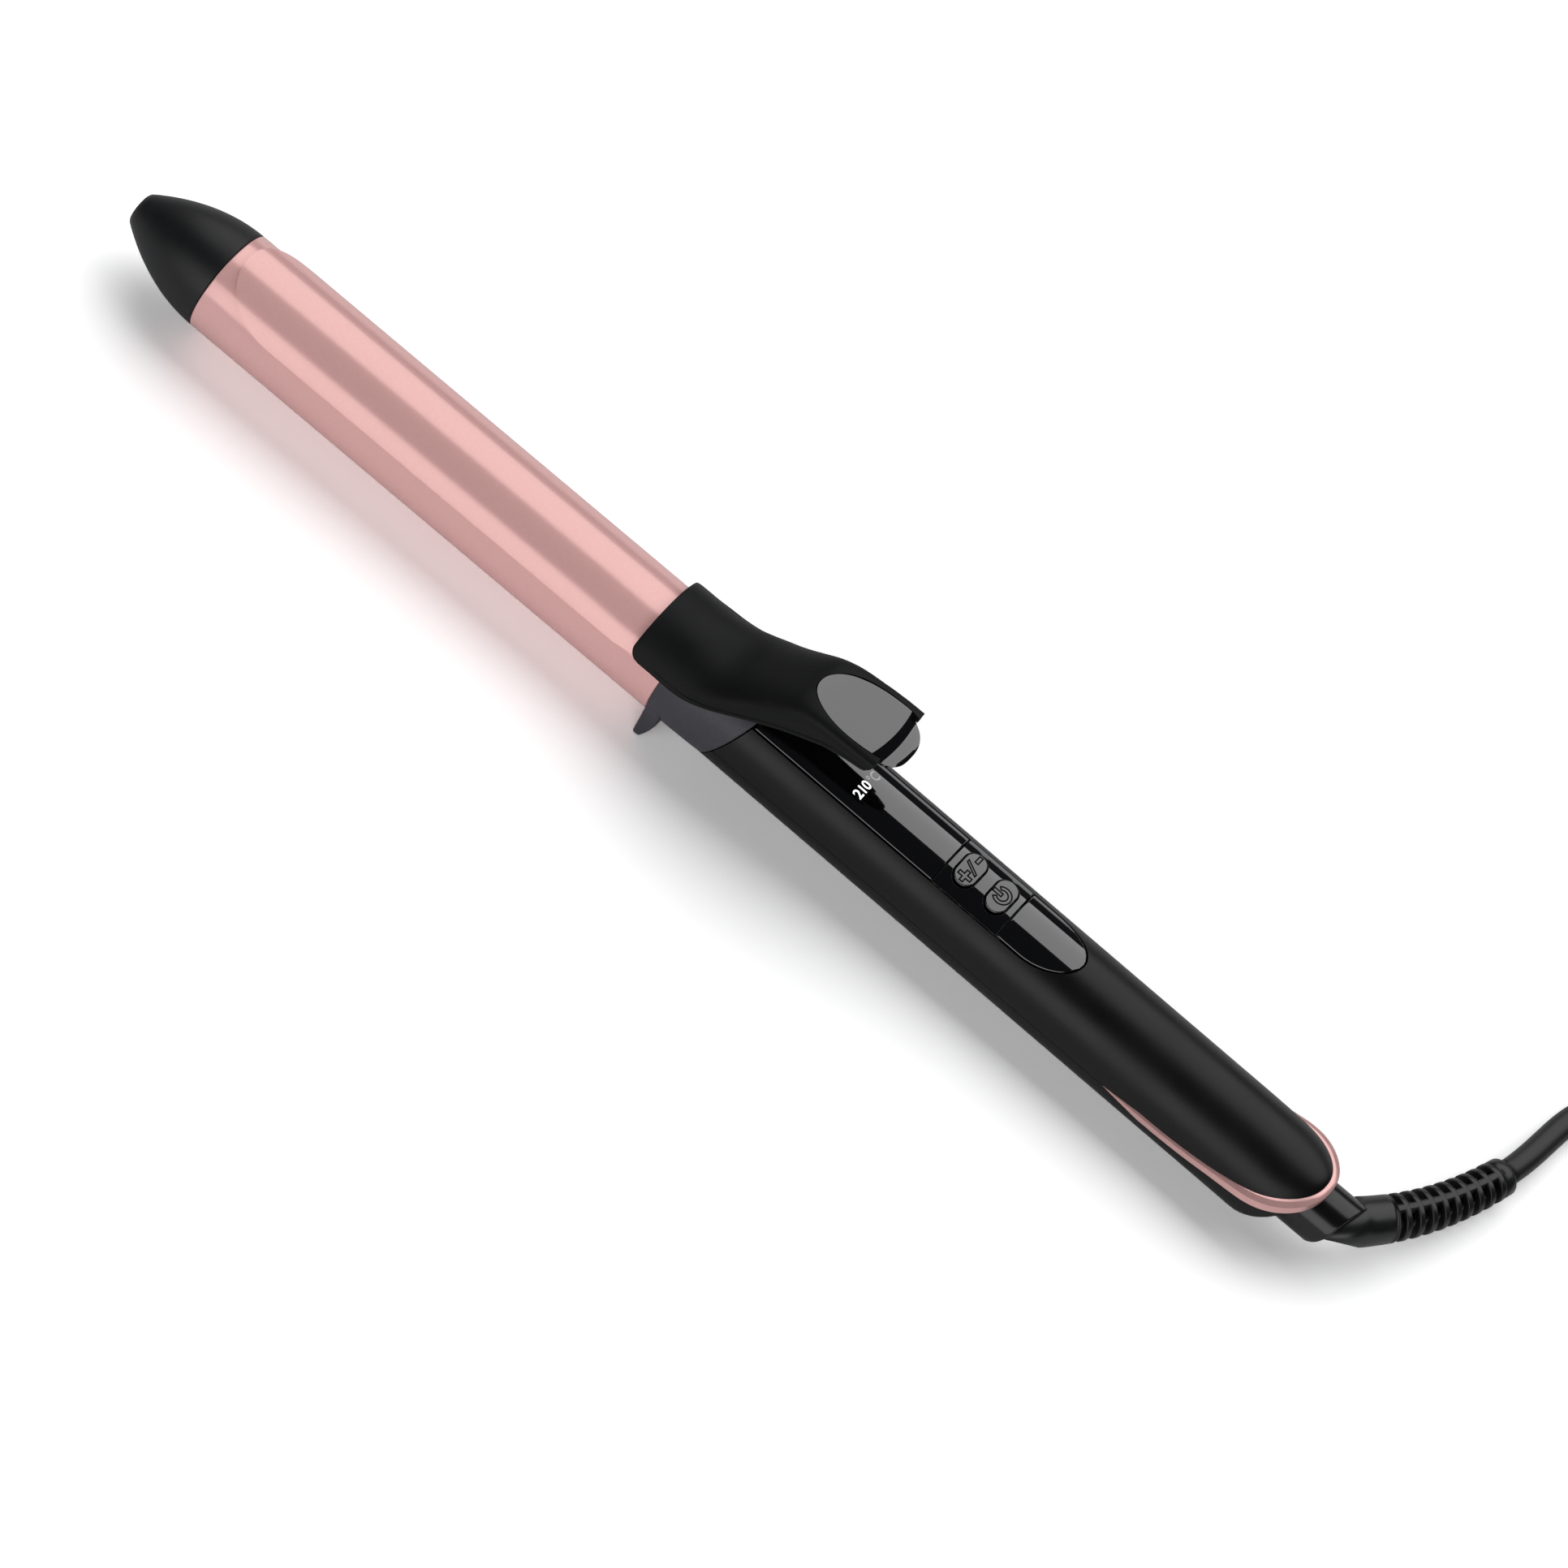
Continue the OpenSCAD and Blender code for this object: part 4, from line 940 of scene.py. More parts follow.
def rose_plating():
    material = bpy.data.materials.new("rose_gold_plating")
    tree = empty_tree(material)
    place = add(tree, "ShaderNodeTexCoord")
    cloud = add(tree, "ShaderNodeTexNoise", inputs={
        "Vector": place.outputs["Object"], "Scale": 1 / (3 * mm), "Detail": 4})
    colour = add(tree, "ShaderNodeMix", {"data_type": "RGBA"}, {
        "Factor": cloud.outputs["Fac"], 6: hex_colour("e6b0ad"), 7: hex_colour("efc0bb")})
    rough = add(tree, "ShaderNodeMapRange", inputs={
        "Value": cloud.outputs["Fac"], "To Min": 0.2, "To Max": 0.3})
    shader = add(tree, "ShaderNodeBsdfPrincipled", inputs={
        "Base Color": colour.outputs[2], "Metallic": 0.45, "Roughness": rough.outputs[0]})
    add(tree, "ShaderNodeOutputMaterial", inputs={"Surface": shader.outputs[0]})
    return material


# The profile at a place on the ring: outward and upward of the case's skin
def ring_profile(x):
    h = ring_half(x)
    part = max(0.02, h / ring_half_h)
    proud = ring_proud + (ring_tail_proud - ring_proud) * ease((x - swell_x) / swell_l)
    return [(-2, -h), (0, -h), (proud * part, -h + 0.2 * part), (proud * part, h - 0.6 * part),
            ((proud - 0.8) * part, h), ((proud - 1.1) * part, h + 0.05 * part), (-2, h)]


def ring_rows():
    rows = []
    places = stations((ring_x, ring_x + 10, 8, False), (ring_x + 10, tail_x, 14, False),
                      (tail_x, handle_l, 26, True))
    for side in (-1, 1):
        for x in places if side < 0 else places[-2::-1]:
            step = 0.05
            ahead_x = min(x + step, handle_l)
            slope = (flank(ahead_x, 0) - flank(x - step, 0)) / (ahead_x - x + step)
            out = Vector((-slope, side)).normalized() if x < handle_l else Vector((1, 0))
            row = []
            for outward, rise in ring_profile(x):
                z = ring_mid(x) + rise
                row.append(in_handle(x + out.x * outward, side * flank(x, z) + out.y * outward, z))
            rows.append(row)
    return rows


trim = clean(loft("rose_trim_ring", ring_rows(), rose_plating()))
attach(trim, "handle")
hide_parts("trim_ring")
for polygon in trim.data.polygons:
    polygon.use_smooth = True
trim.data.set_sharp_from_angle(angle=math.radians(28))

# ---- Control panel ----
# Three flush covers of high-gloss black polycarbonate lie in the roof's opening: the long
# smoked window over the display, the buttons' bezel, and a plain round-nosed inlay.

window_end = 54.5
bezel_start, bezel_end = 54.85, 72.45
inlay_start = 72.8
panel_t = 1.6
button_places = (59.3, 68.1)
button_l, button_w = 5.65, 9.5
button_gap = 0.19


# Whether a point of the plan lies inside a closed outline
def inside(p, outline):
    odd = False
    for i, a in enumerate(outline):
        b = outline[i - 1]
        if (a[1] > p[1]) != (b[1] > p[1]) and p[0] < (b[0] - a[0]) * (p[1] - a[1]) / (b[1] - a[1]) + a[0]:
            odd = not odd
    return odd


# A cover cut to a plan outline with holes; its skin is laid at the heights that top() gives
def plate(name, outline, holes, top, material, spacing=1.0, creases=()):
    points, edges = [], []
    for loop in (outline, *holes):
        first = len(points)
        points += [Vector(p) for p in loop]
        edges += [(first + i, first + (i + 1) % len(loop)) for i in range(len(loop))]
    for a, b in creases:
        edges.append((len(points), len(points) + 1))
        points += [Vector(a), Vector(b)]
    rim = list(points)
    low = [min(p[i] for p in outline) for i in (0, 1)]
    high = [max(p[i] for p in outline) for i in (0, 1)]
    for i in range(int((high[0] - low[0]) / spacing)):
        for j in range(int((high[1] - low[1]) / spacing)):
            p = Vector((low[0] + (i + 0.5) * spacing, low[1] + (j + 0.5) * spacing))
            if inside(p, outline) and all((p - q).length > 0.6 * spacing for q in rim):
                points.append(p)
    flat, _, faces = delaunay_2d_cdt(points, edges, [], 0, 1e-6)[:3]
    kept = []
    for face in faces:
        middle = sum((flat[i] for i in face), Vector((0, 0))) / len(face)
        if inside(middle, outline) and not any(inside(middle, hole) for hole in holes):
            kept.append(tuple(face))
    used = sorted({i for face in kept for i in face})
    number = {old: new for new, old in enumerate(used)}
    return make_piece(name, [top(*flat[i]) for i in used], [tuple(number[i] for i in face) for face in kept],
                      material)


# A point over the plan on a round roof of the given radius
def on_roof(radius):
    return lambda x, y: in_handle(x, y, math.sqrt(radius ** 2 - y * y))


# Shades a roof plate's skin as the true cylinder, so that its reflections run even
def true_round(thing):
    mesh = thing.data
    start = in_handle(0, 0, 0)
    axis = (in_handle(1, 0, 0) - start).normalized()
    normals = []
    for polygon in mesh.polygons:
        for i in polygon.loop_indices:
            away = mesh.vertices[mesh.loops[i].vertex_index].co - start
            radial = (away - axis * away.dot(axis)).normalized()
            skin = polygon.normal.dot(radial) > 0.999
            normals.append(radial if skin else mesh.corner_normals[i].vector.copy())
    mesh.normals_split_custom_set(normals)
    return thing


def gloss_black():
    material = bpy.data.materials.new("gloss_black_polycarbonate")
    tree = empty_tree(material)
    place = add(tree, "ShaderNodeTexCoord")
    swirl = add(tree, "ShaderNodeTexNoise", inputs={
        "Vector": place.outputs["Object"], "Scale": 1 / (6 * mm), "Detail": 2})
    rough = add(tree, "ShaderNodeMapRange", inputs={
        "Value": swirl.outputs["Fac"], "To Min": 0.04, "To Max": 0.09})
    shader = add(tree, "ShaderNodeBsdfPrincipled", inputs={
        "Base Color": hex_colour("060607"), "Roughness": rough.outputs[0], "IOR": 1.58,
        "Coat Weight": 1.0, "Coat Roughness": 0.03, "Coat IOR": 1.6})
    add(tree, "ShaderNodeOutputMaterial", inputs={"Surface": shader.outputs[0]})
    return material


# A pill-shaped outline across the handle, grown by a margin
def pill(x, grow):
    r = button_l / 2 + grow
    reach = (button_w - button_l) / 2
    points = []
    for k in range(2):
        for i in range(13):
            a = math.pi * (k + i / 12)
            points.append((x + r * math.cos(a), (reach if k == 0 else -reach) + r * math.sin(a)))
    return points


# Points from one place to another in the plan, an even way apart, without the last
def run(a, b, spacing=1.0):
    count = max(1, round(math.dist(a, b) / spacing))
    return [(a[0] + (b[0] - a[0]) * k / count, a[1] + (b[1] - a[1]) * k / count) for k in range(count)]


gloss = gloss_black()
w = panel_half_w
front = [(joint_slope * math.sqrt(handle_r ** 2 - y * y) + 0.12, y)
         for y in [w - 2 * w * k / 16 for k in range(17)]]
window_outline = (run(front[-1], (window_end, -w)) + run((window_end, -w), (window_end, w))
                  + run((window_end, w), front[0]) + front[:-1])
bezel_outline = (run((bezel_start, -w), (bezel_end, -w)) + run((bezel_end, -w), (bezel_end, w))
                 + run((bezel_end, w), (bezel_start, w)) + run((bezel_start, w), (bezel_start, -w)))
nose_x = inlay_end - inlay_nose
round_end = [(nose_x + inlay_nose * math.cos(a), w * math.sin(a))
             for a in (math.pi * (k / 36 - 0.5) for k in range(36))]
inlay_outline = (run((inlay_start, -w), (nose_x, -w)) + round_end + run((nose_x, w), (inlay_start, w))
                 + run((inlay_start, w), (inlay_start, -w)))
bezel_holes = [pill(x, button_gap) for x in button_places]
for name, outline, holes, node, slot in (
        ("display_window_cover", window_outline, [], "display_window", "smoked_window"),
        ("buttons_bezel", bezel_outline, bezel_holes, "button_bezel", "gloss_black"),
        ("round_nosed_inlay", inlay_outline, [], "rear_inlay", "gloss_black")):
    cover = plate(name, outline, holes, on_roof(handle_r), gloss)
    true_round(baked(walled(cover, panel_t, 0.4, 3)))
    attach(cover, "handle")
    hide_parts(node)

# ---- Collar ----
# Glass-filled PBT, slate grey, screwed to the end of the heated barrel and holding the
# handle. Two thin fins under it are the stand that keeps the barrel off the table.

collar_x = 155.6
barrel_r = 12.5
collar_wall = 2
foot_y = 11.5


def collar_rows():
    sides = 96
    profile = [
        (0, barrel_r - 0.25), (0.1, barrel_r - 0.08), (0.3, barrel_r), (8, barrel_r),
        (14, barrel_r - 0.1), (17, barrel_r - 0.2), (17.35, barrel_r - 0.25), (17.5, barrel_r - 0.4),
        (17.5, barrel_r - collar_wall), (0, barrel_r - collar_wall), (0, barrel_r - 0.25),
    ]
    rows = []
    for x, r in profile:
        row = []
        for k in range(sides):
            a = 2 * math.pi * k / sides
            z = r * math.sin(a)
            row.append(at(collar_x + x * (17.8 - 0.12 + joint_slope * z) / 17.5, r * math.cos(a), z))
        rows.append(row)
    return rows


# One fin of the stand: its outer face runs straight down from the collar's flank
def foot_rows(side):
    floor_z = -axis_z / mm
    rows = []
    for z, inner, long, inset in (
            (-2, 9.5, 4, 0), (-6.5, 8.4, 4, 0), (-8, 7.5, 4, 0), (-10.4, 6.4, 3.4, 0),
            (-12, 8.2, 2.9, 0), (-13.4, 9.6, 2.3, 0), (floor_z + 0.5, 10.45, 1.95, 0),
            (floor_z + 0.12, 10.6, 1.85, 0.12), (floor_z, 10.7, 1.8, 0.4)):
        outer = foot_y + 0.9 - 0.32 * (z - floor_z) / (-floor_z)
        ring = round_rectangle(collar_x + inset, collar_x + long - inset, inner + inset, outer - inset, 0.42,
                               4)
        rows.append([at(x, side * y, z) for x, y in ring])
    return rows


slate = moulded_plastic("slate_pbt", "3a3a41", "46464e", 0.4, 0.02, 0.42, 0.52, 0.4)


# A flat piece cut to a side view and set between two planes across the tongs
def side_plate(name, outline, y0, y1, material, edge):
    faces = [tuple(range(len(outline)))]
    points = [at(x, y, z) for y in (y0, y1) for x, z in outline]
    thing = make_piece(name, points, faces, material)
    count = len(outline)
    work = bmesh.new()
    work.from_mesh(thing.data)
    work.verts.ensure_lookup_table()
    work.faces.new([work.verts[count + i] for i in reversed(range(count))])
    for i in range(count):
        n = (i + 1) % count
        work.faces.new([work.verts[n], work.verts[i], work.verts[count + i], work.verts[count + n]])
    bmesh.ops.recalc_face_normals(work, faces=work.faces)
    work.to_mesh(thing.data)
    work.free()
    return baked(walled(thing, 0, edge))


hinge_x, hinge_z = 170, 14.4
lug_y, lug_t, lug_r = 2.9, 2, 2.2
lug_outline = [(hinge_x + lug_r * math.cos(a),
                hinge_z + lug_r * math.sin(a)) for a in (math.pi * k / 12 for k in range(13))]
lug_outline += [(hinge_x - lug_r - 1.5, 9.5), (hinge_x + lug_r + 1.5, 9.5)]
collar = clean(loft("slate_collar", collar_rows(), slate, capped=False))
fins = [clean(loft("stand_fin", foot_rows(side), slate)) for side in (-1, 1)]
lugs = [side_plate("hinge_lug", lug_outline, y, y + lug_t, slate, 0.2) for y in (-lug_y - lug_t, lug_y)]
join(collar, *fins, *lugs)
collar.data.set_sharp_from_angle(angle=math.radians(40))
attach(collar, "handle")
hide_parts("collar")

# ---- Clip ----
# A long sheet-metal tongue, pressed round to the barrel's shape and coated like it. Its
# rounded nose rests on the cap, and two ears at its back run to the hinge pin.

clip_r = 13.5
clip_t = 0.65
clip_half_angle = math.radians(59.5)
clip_x = 27.2
clip_nose_l = 16.6
clip_end = 162
saddle_x = 146.8


# Rose ceramic enamel, sprayed over metal with fine mica flakes: a satin sheen that glints
def rose_enamel():
    material = bpy.data.materials.new("rose_mica_enamel")
    tree = empty_tree(material)
    place = add(tree, "ShaderNodeTexCoord")
    flake = add(tree, "ShaderNodeTexVoronoi", inputs={
        "Vector": place.outputs["Object"], "Scale": 1 / (0.22 * mm)})
    mottle = add(tree, "ShaderNodeTexNoise", inputs={
        "Vector": place.outputs["Object"], "Scale": 1 / (0.9 * mm), "Detail": 4})
    glint = add(tree, "ShaderNodeSeparateColor", inputs={"Color": flake.outputs["Color"]})
    mixed = add(tree, "ShaderNodeMath", {"operation": "MULTIPLY"}, {
        0: glint.outputs[0], 1: mottle.outputs["Fac"]})
    colour = add(tree, "ShaderNodeMix", {"data_type": "RGBA"}, {
        "Factor": mixed.outputs[0], 6: hex_colour("f3bcb8"), 7: hex_colour("fac5c1")})
    rough = add(tree, "ShaderNodeMapRange", inputs={
        "Value": glint.outputs[1], "To Min": 0.17, "To Max": 0.25})
    bump = add(tree, "ShaderNodeBump", inputs={
        "Height": glint.outputs[2], "Strength": 0.05, "Distance": 0.01 * mm})
    shader = add(tree, "ShaderNodeBsdfPrincipled", inputs={
        "Base Color": colour.outputs[2], "Metallic": 0.2, "Roughness": rough.outputs[0],
        "Normal": bump.outputs[0]})
    add(tree, "ShaderNodeOutputMaterial", inputs={"Surface": shader.outputs[0]})
    return material


def clip_rows():
    steps = 48
    straight_x = clip_x + clip_nose_l
    places = [straight_x - clip_nose_l * math.cos(math.pi / 2 * k / 20) for k in range(21)]
    places += [straight_x + (clip_end - straight_x) * k / 12 for k in range(1, 13)]
    rows = []
    for x in places:
        u = max(0, straight_x - x) / clip_nose_l
        spread = clip_half_angle * math.sqrt(max(0, 1 - u * u))
        spread -= math.radians(6) * ease((x - saddle_x) / 4)
        rows.append([at(x, clip_r * math.sin(a), clip_r * math.cos(a))
                     for a in (spread * (1 - 2 * k / steps) for k in range(steps + 1))])
    return rows


enamel = rose_enamel()
clip = loft("clip_tongue", clip_rows(), enamel, closed=False, capped=False)
clean(clip, outward=False)
baked(walled(clip, clip_t, 0.16, 2))
ear_y, ear_t, ear_r = 5.25, 1, 1.85
root_z = math.sqrt(clip_r ** 2 - (ear_y + ear_t) ** 2) - 0.15
ear_outline = [(clip_end - 3, root_z), (clip_end + 4, root_z), (hinge_x + 0.6, hinge_z - ear_r + 0.1)]
ear_outline += [(hinge_x + ear_r * math.cos(a), hinge_z + ear_r * math.sin(a))
                for a in (math.pi * (k / 8 - 0.35) for k in range(10))]
ear_outline += [(hinge_x - 5, hinge_z - 2), (clip_end - 3, root_z + 0.2)]
ears = [side_plate("clip_ear", ear_outline, y, y + ear_t, enamel, 0.15) for y in (-ear_y - ear_t, ear_y)]
join(clip, *ears)
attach(clip, "lever")
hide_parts("clip_plate")

# ---- Lever ----
# A thick-walled cover of matt black nylon, riveted to the clip. It starts as a saddle over
# the clip, rises over the hinge and ends as an arched thumb rest with a raised rim.

saddle_r = 15.7
saddle_angle = math.radians(56)
lever_l = 58.2
lever_wall = 1.8
rim_w = 0.9
rim_proud = 0.22
rim_step = 0.18
front_corner, rear_corner = 3, 3.6
corner_reach = 9
lever_sections = [
    (0, 13, 8.8, 15.7), (10, 12.9, 8.9, 15.7), (14, 12.7, 9.7, 16.1), (18, 12.4, 11, 17),
    (23, 11.9, 12.6, 19.3), (28, 11.2, 15.5, 23.2), (33, 10.6, 18.6, 27.2), (37, 10.2, 21, 29.9),
    (42, 9.9, 23.7, 31.4), (47, 9.85, 26.4, 31.9), (53, 9.9, 27.9, 32.35), (59.2, 9.8, 28.6, 32.5),
]


# Half width, rim height and crown height at a distance behind the saddle's front edge
def lever_section(d):
    for i in range(len(lever_sections) - 1):
        if d <= lever_sections[i + 1][0]:
            break
    a, b = lever_sections[i], lever_sections[i + 1]
    before = lever_sections[max(0, i - 1)]
    after = lever_sections[min(len(lever_sections) - 1, i + 2)]
    t = (d - a[0]) / (b[0] - a[0])
    found = []
    for k in (1, 2, 3):
        rise_a = (b[k] - before[k]) / (b[0] - before[0]) * (b[0] - a[0])
        rise_b = (after[k] - a[k]) / (after[0] - a[0]) * (b[0] - a[0])
        found.append((2 * t ** 3 - 3 * t * t + 1) * a[k] + (t ** 3 - 2 * t * t + t) * rise_a
                     + (3 * t * t - 2 * t ** 3) * b[k] + (t ** 3 - t * t) * rise_b)
    return found


# One half of a section from its rim up to the crown: the saddle's arc, easing into an arch
def half_section(d, steps=60):
    k = ease((d - 9) / 16)
    wide, low, top = lever_section(d)
    points = []
    for i in range(steps + 1):
        s = 1 - i / steps
        t = math.pi / 2 * (1 - s)
        arc = Vector((saddle_r * math.sin(saddle_angle * s), saddle_r * math.cos(saddle_angle * s)))
        square = 0.72 - 0.41 * ease((d - 26) / 18)
        arch = Vector((wide * max(0, math.cos(t)) ** square, low + (top - low) * math.sin(t) ** square))
        points.append(arc.lerp(arch, k))
    return points


# Picks the points of a line that lie at the given shares or distances along it
def along_line(points, distances):
    picked, walked, i = [], 0.0, 0
    for want in distances:
        while i < len(points) - 2 and walked + (points[i + 1] - points[i]).length < want:
            walked += (points[i + 1] - points[i]).length
            i += 1
        picked.append(points[i].lerp(points[i + 1],
                                     min(1, (want - walked) / (points[i + 1] - points[i]).length)))
    return picked


# How much a rounded corner takes off the length at a distance from the side
def corner(q, r):
    u = max(0, (r - q) / r)
    return r * (1 - math.sqrt(max(0, 1 - u * u)))


def lever_rows():
    rows = []
    for k in range(61):
        d = lever_l * k / 60
        line = half_section(d)
        whole = sum((line[i + 1] - line[i]).length for i in range(len(line) - 1))
        distances = [0, 0.25, 0.6, rim_w, rim_w + rim_step]
        distances += [rim_w + rim_step + (whole - rim_w - rim_step) * i / 22 for i in range(1, 23)]
        half = []
        picked = along_line(line, distances)
        for i, (q, p) in enumerate(zip(distances, picked)):
            ahead = (picked[min(i + 1, len(picked) - 1)] - picked[max(i - 1, 0)]).normalized()
            out = Vector((ahead.y, -ahead.x))
            raised = rim_proud * ease((d - 4) / 8) if q <= rim_w else 0
            x = saddle_x + d
            if d < corner_reach:
                x += corner(q, front_corner) * (corner_reach - d) / corner_reach
            if d > lever_l - corner_reach:
                x -= corner(q, rear_corner) * (d - lever_l + corner_reach) / corner_reach
            half.append((x, p.x + out.x * raised, p.y + out.y * raised))
        rows.append([at(*p) for p in half] + [at(x, -y, z) for x, y, z in half[-2::-1]])
    return rows


pad_x0, pad_mid, pad_x1 = saddle_x + 37, saddle_x + 52, saddle_x + 62.3
pad_half_w = 7.5


# The thumb pad's outline in plan, grown by a margin: an oval in front, blunter behind
def pad_outline(grow, steps=80):
    points = []
    for k in range(steps):
        a = 2 * math.pi * k / steps
        c, s = math.cos(a), math.sin(a)
        reach = (pad_x1 - pad_mid if c > 0 else pad_mid - pad_x0) + grow
        power = 0.72 if c > 0 else 0.95
        points.append((pad_mid + reach * math.copysign(abs(c) ** power, c),
                       (pad_half_w + grow) * math.copysign(abs(s) ** power, s)))
    return points


nylon_cover = moulded_plastic("matt_nylon_cover", "0b0c0c", "111212", 0.3, 0.025, 0.46, 0.56, 0.16)
cover = loft("lever_cover_shell", lever_rows(), nylon_cover, closed=False, capped=False)
clean(cover, outward=False)
baked(walled(cover, lever_wall, 0.35, 3))
room = loft("pad_room", [[at(x, y, z) for x, y in pad_outline(0.22)] for z in (24, 40)], nylon_cover)
cut(cover, clean(room))
for polygon in cover.data.polygons:
    polygon.use_smooth = True
cover.data.set_sharp_from_angle(angle=math.radians(38))
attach(cover, "lever")
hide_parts("lever_cover")

# ---- Thumb pad ----
# A gloss black inlay set flush in the lever. It is flat under the thumb, and behind a crisp
# crease its lip rolls down over the end of the cover.

crease_x = 203.6
crease_bow = 0.9
pad_low, pad_high = 30.7, 32.65
seat_end = 202.5
pad_wall = 1.4


# Where the crease runs at a place across the pad
def crease_at(y):
    return crease_x - crease_bow * (y / pad_half_w) ** 2


# Flat up to the crease, then a short steep step and a lip that rolls over
def pad_top(x, y):
    behind = x - crease_at(y)
    if behind <= 0:
        z = pad_high + (pad_high - pad_low) * behind / (crease_x - pad_x0)
        z -= 0.55 * (max(0, pad_x0 + 5.5 - x) / 5.5) ** 2
    else:
        step = -soft_max(-behind, -2.3, 0.5)
        z = pad_high - 0.2 * behind - 0.62 * step - 0.012 * max(0, behind - 1.4) ** 3
    return at(x, y, z - 0.25 * (y / pad_half_w) ** 2)


crease = [(crease_at(y), y) for y in (2 * k - 10 for k in range(11))]
pad = plate("gloss_thumb_pad", pad_outline(0), [], pad_top, gloss, 0.7, list(zip(crease, crease[1:])))
baked(walled(pad, pad_wall, 0.22, 3))


# The seat that the pad is bonded to, moulded in one with the cover, closes the joint below
def seat_top(x, y):
    return pad_top(x, y) - Vector((0, 0, pad_wall + 0.05)) * mm


seat = plate("pad_seat", [(min(x, seat_end), y) for x, y in pad_outline(0.8)], [], seat_top, nylon_cover)
join(cover, clean(walled(seat, 0.7, 0.1, 1)))
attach(pad, "lever")
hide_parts("thumb_pad")

# ---- Barrel ----
# A drawn aluminium tube, coated in the same rose enamel as the clip. Both of its ends are
# turned over slightly, which leaves a fine line against the cap and the collar.

tip_l = 24.5
tube_t = 0.8
barrel = clean(loft("enamelled_barrel", turned_rows(at(0, 0, 0), (1, 0, 0), [
    (tip_l + 0.05, barrel_r - tube_t), (tip_l + 0.05, barrel_r - 0.3), (tip_l + 0.14, barrel_r - 0.09),
    (tip_l + 0.35, barrel_r), (60, barrel_r), (90, barrel_r), (120, barrel_r), (collar_x - 0.35, barrel_r),
    (collar_x - 0.12, barrel_r - 0.09), (collar_x - 0.05, barrel_r - 0.3),
    (collar_x - 0.05, barrel_r - tube_t), (tip_l + 0.05, barrel_r - tube_t)], 128), enamel, capped=False))
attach(barrel, "handle")
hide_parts("barrel_tube")

# ---- Cool tip ----
# A hollow cap of heat-resistant plastic, matt black, plugged into the barrel's end. It is
# what the other hand holds while the barrel is hot.

tip_flat_r = 3.8
tip_reach = 0.75


def tip_profile():
    profile = [(0, 0.01), (0, tip_flat_r - 0.7), (0.08, tip_flat_r - 0.25), (0.3, tip_flat_r + 0.15)]
    steps = 40
    for k in range(2, steps + 1):
        x = (tip_l - 0.3) * k / steps
        profile.append((x, barrel_r - (barrel_r - tip_flat_r) * (1 - x / tip_l) ** 2))
    profile = [(x - tip_reach * (1 - x / tip_l), r) for x, r in profile]
    profile += [
        (tip_l - 0.1, barrel_r - 0.1), (tip_l - 0.03, barrel_r - 0.3), (tip_l - 0.03, barrel_r - 2),
        (tip_l - 3, barrel_r - 2.4), (tip_l - 3, 0.01),
    ]
    return profile


cap_plastic = moulded_plastic("heat_resistant_plastic", "0e0f11", "151618", 0.34, 0.025, 0.4, 0.5, 0.35)
cap = clean(loft("cool_tip_cap", turned_rows(at(0, 0, 0), (1, 0, 0), tip_profile(), 96), cap_plastic))
cap.data.set_sharp_from_angle(angle=math.radians(50))
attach(cap, "handle")
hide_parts("cool_tip")

# ---- Buttons ----
# Two pill-shaped caps of the same gloss black, moulded with their stems, stand a hair
# proud of the bezel. Each has its sign printed in matt black outline.

cap_proud = 0.25
cap_t = 1.9
cap_flattening = 60
ink_lift = 0.04
line_w = 0.33


# The caps are flatter than the roof, so the whole of each catches the light at once
def cap_face(x, y):
    return in_handle(x, y, handle_r + cap_proud - y * y / cap_flattening)


# The ink lies a little above the cap's face
def ink_face(x, y):
    return in_handle(x, y, handle_r + cap_proud + ink_lift - y * y / cap_flattening)


# Moves a closed outline's sides out by a distance
def offset(outline, out):
    area = sum(a[0] * b[1] - b[0] * a[1] for a, b in zip(outline, outline[1:] + outline[:1]))
    turn = 1 if area > 0 else -1
    moved = []
    for i, p in enumerate(outline):
        before = (Vector(p) - Vector(outline[i - 1])).normalized()
        after = (Vector(outline[(i + 1) % len(outline)]) - Vector(p)).normalized()
        a = Vector((before.y, -before.x)) * turn
        b = Vector((after.y, -after.x)) * turn
        moved.append(tuple(Vector(p) + (a + b) * out / max(0.3, 1 + a.dot(b))))
    return moved


# An outline with its sides cut into short steps, so that it can lie on a round roof
def stepped(outline, spacing=0.5):
    return [q for a, b in zip(outline, outline[1:] + outline[:1]) for q in run(a, b, spacing)]


def box_outline(x0, x1, y0, y1):
    return [(x0, y0), (x1, y0), (x1, y1), (x0, y1)]


# A closed printed line along an outline
def printed_line(name, outline, material):
    fine = stepped(outline)
    ink = plate(name, offset(fine, line_w / 2), [offset(fine, -line_w / 2)], ink_face, material, 50)
    film = ink.modifiers.new("film", "SOLIDIFY")
    film.thickness = 0.06 * mm
    film.offset = -1
    return baked(ink)


# The stroke of an arc, open where it starts and ends
def arc_outline(x, y, r, w, start, end, steps=22):
    angles = [start + (end - start) * k / steps for k in range(steps + 1)]
    return ([(x + (r + w / 2) * math.cos(a), y + (r + w / 2) * math.sin(a)) for a in angles]
            + [(x + (r - w / 2) * math.cos(a), y + (r - w / 2) * math.sin(a)) for a in reversed(angles)])


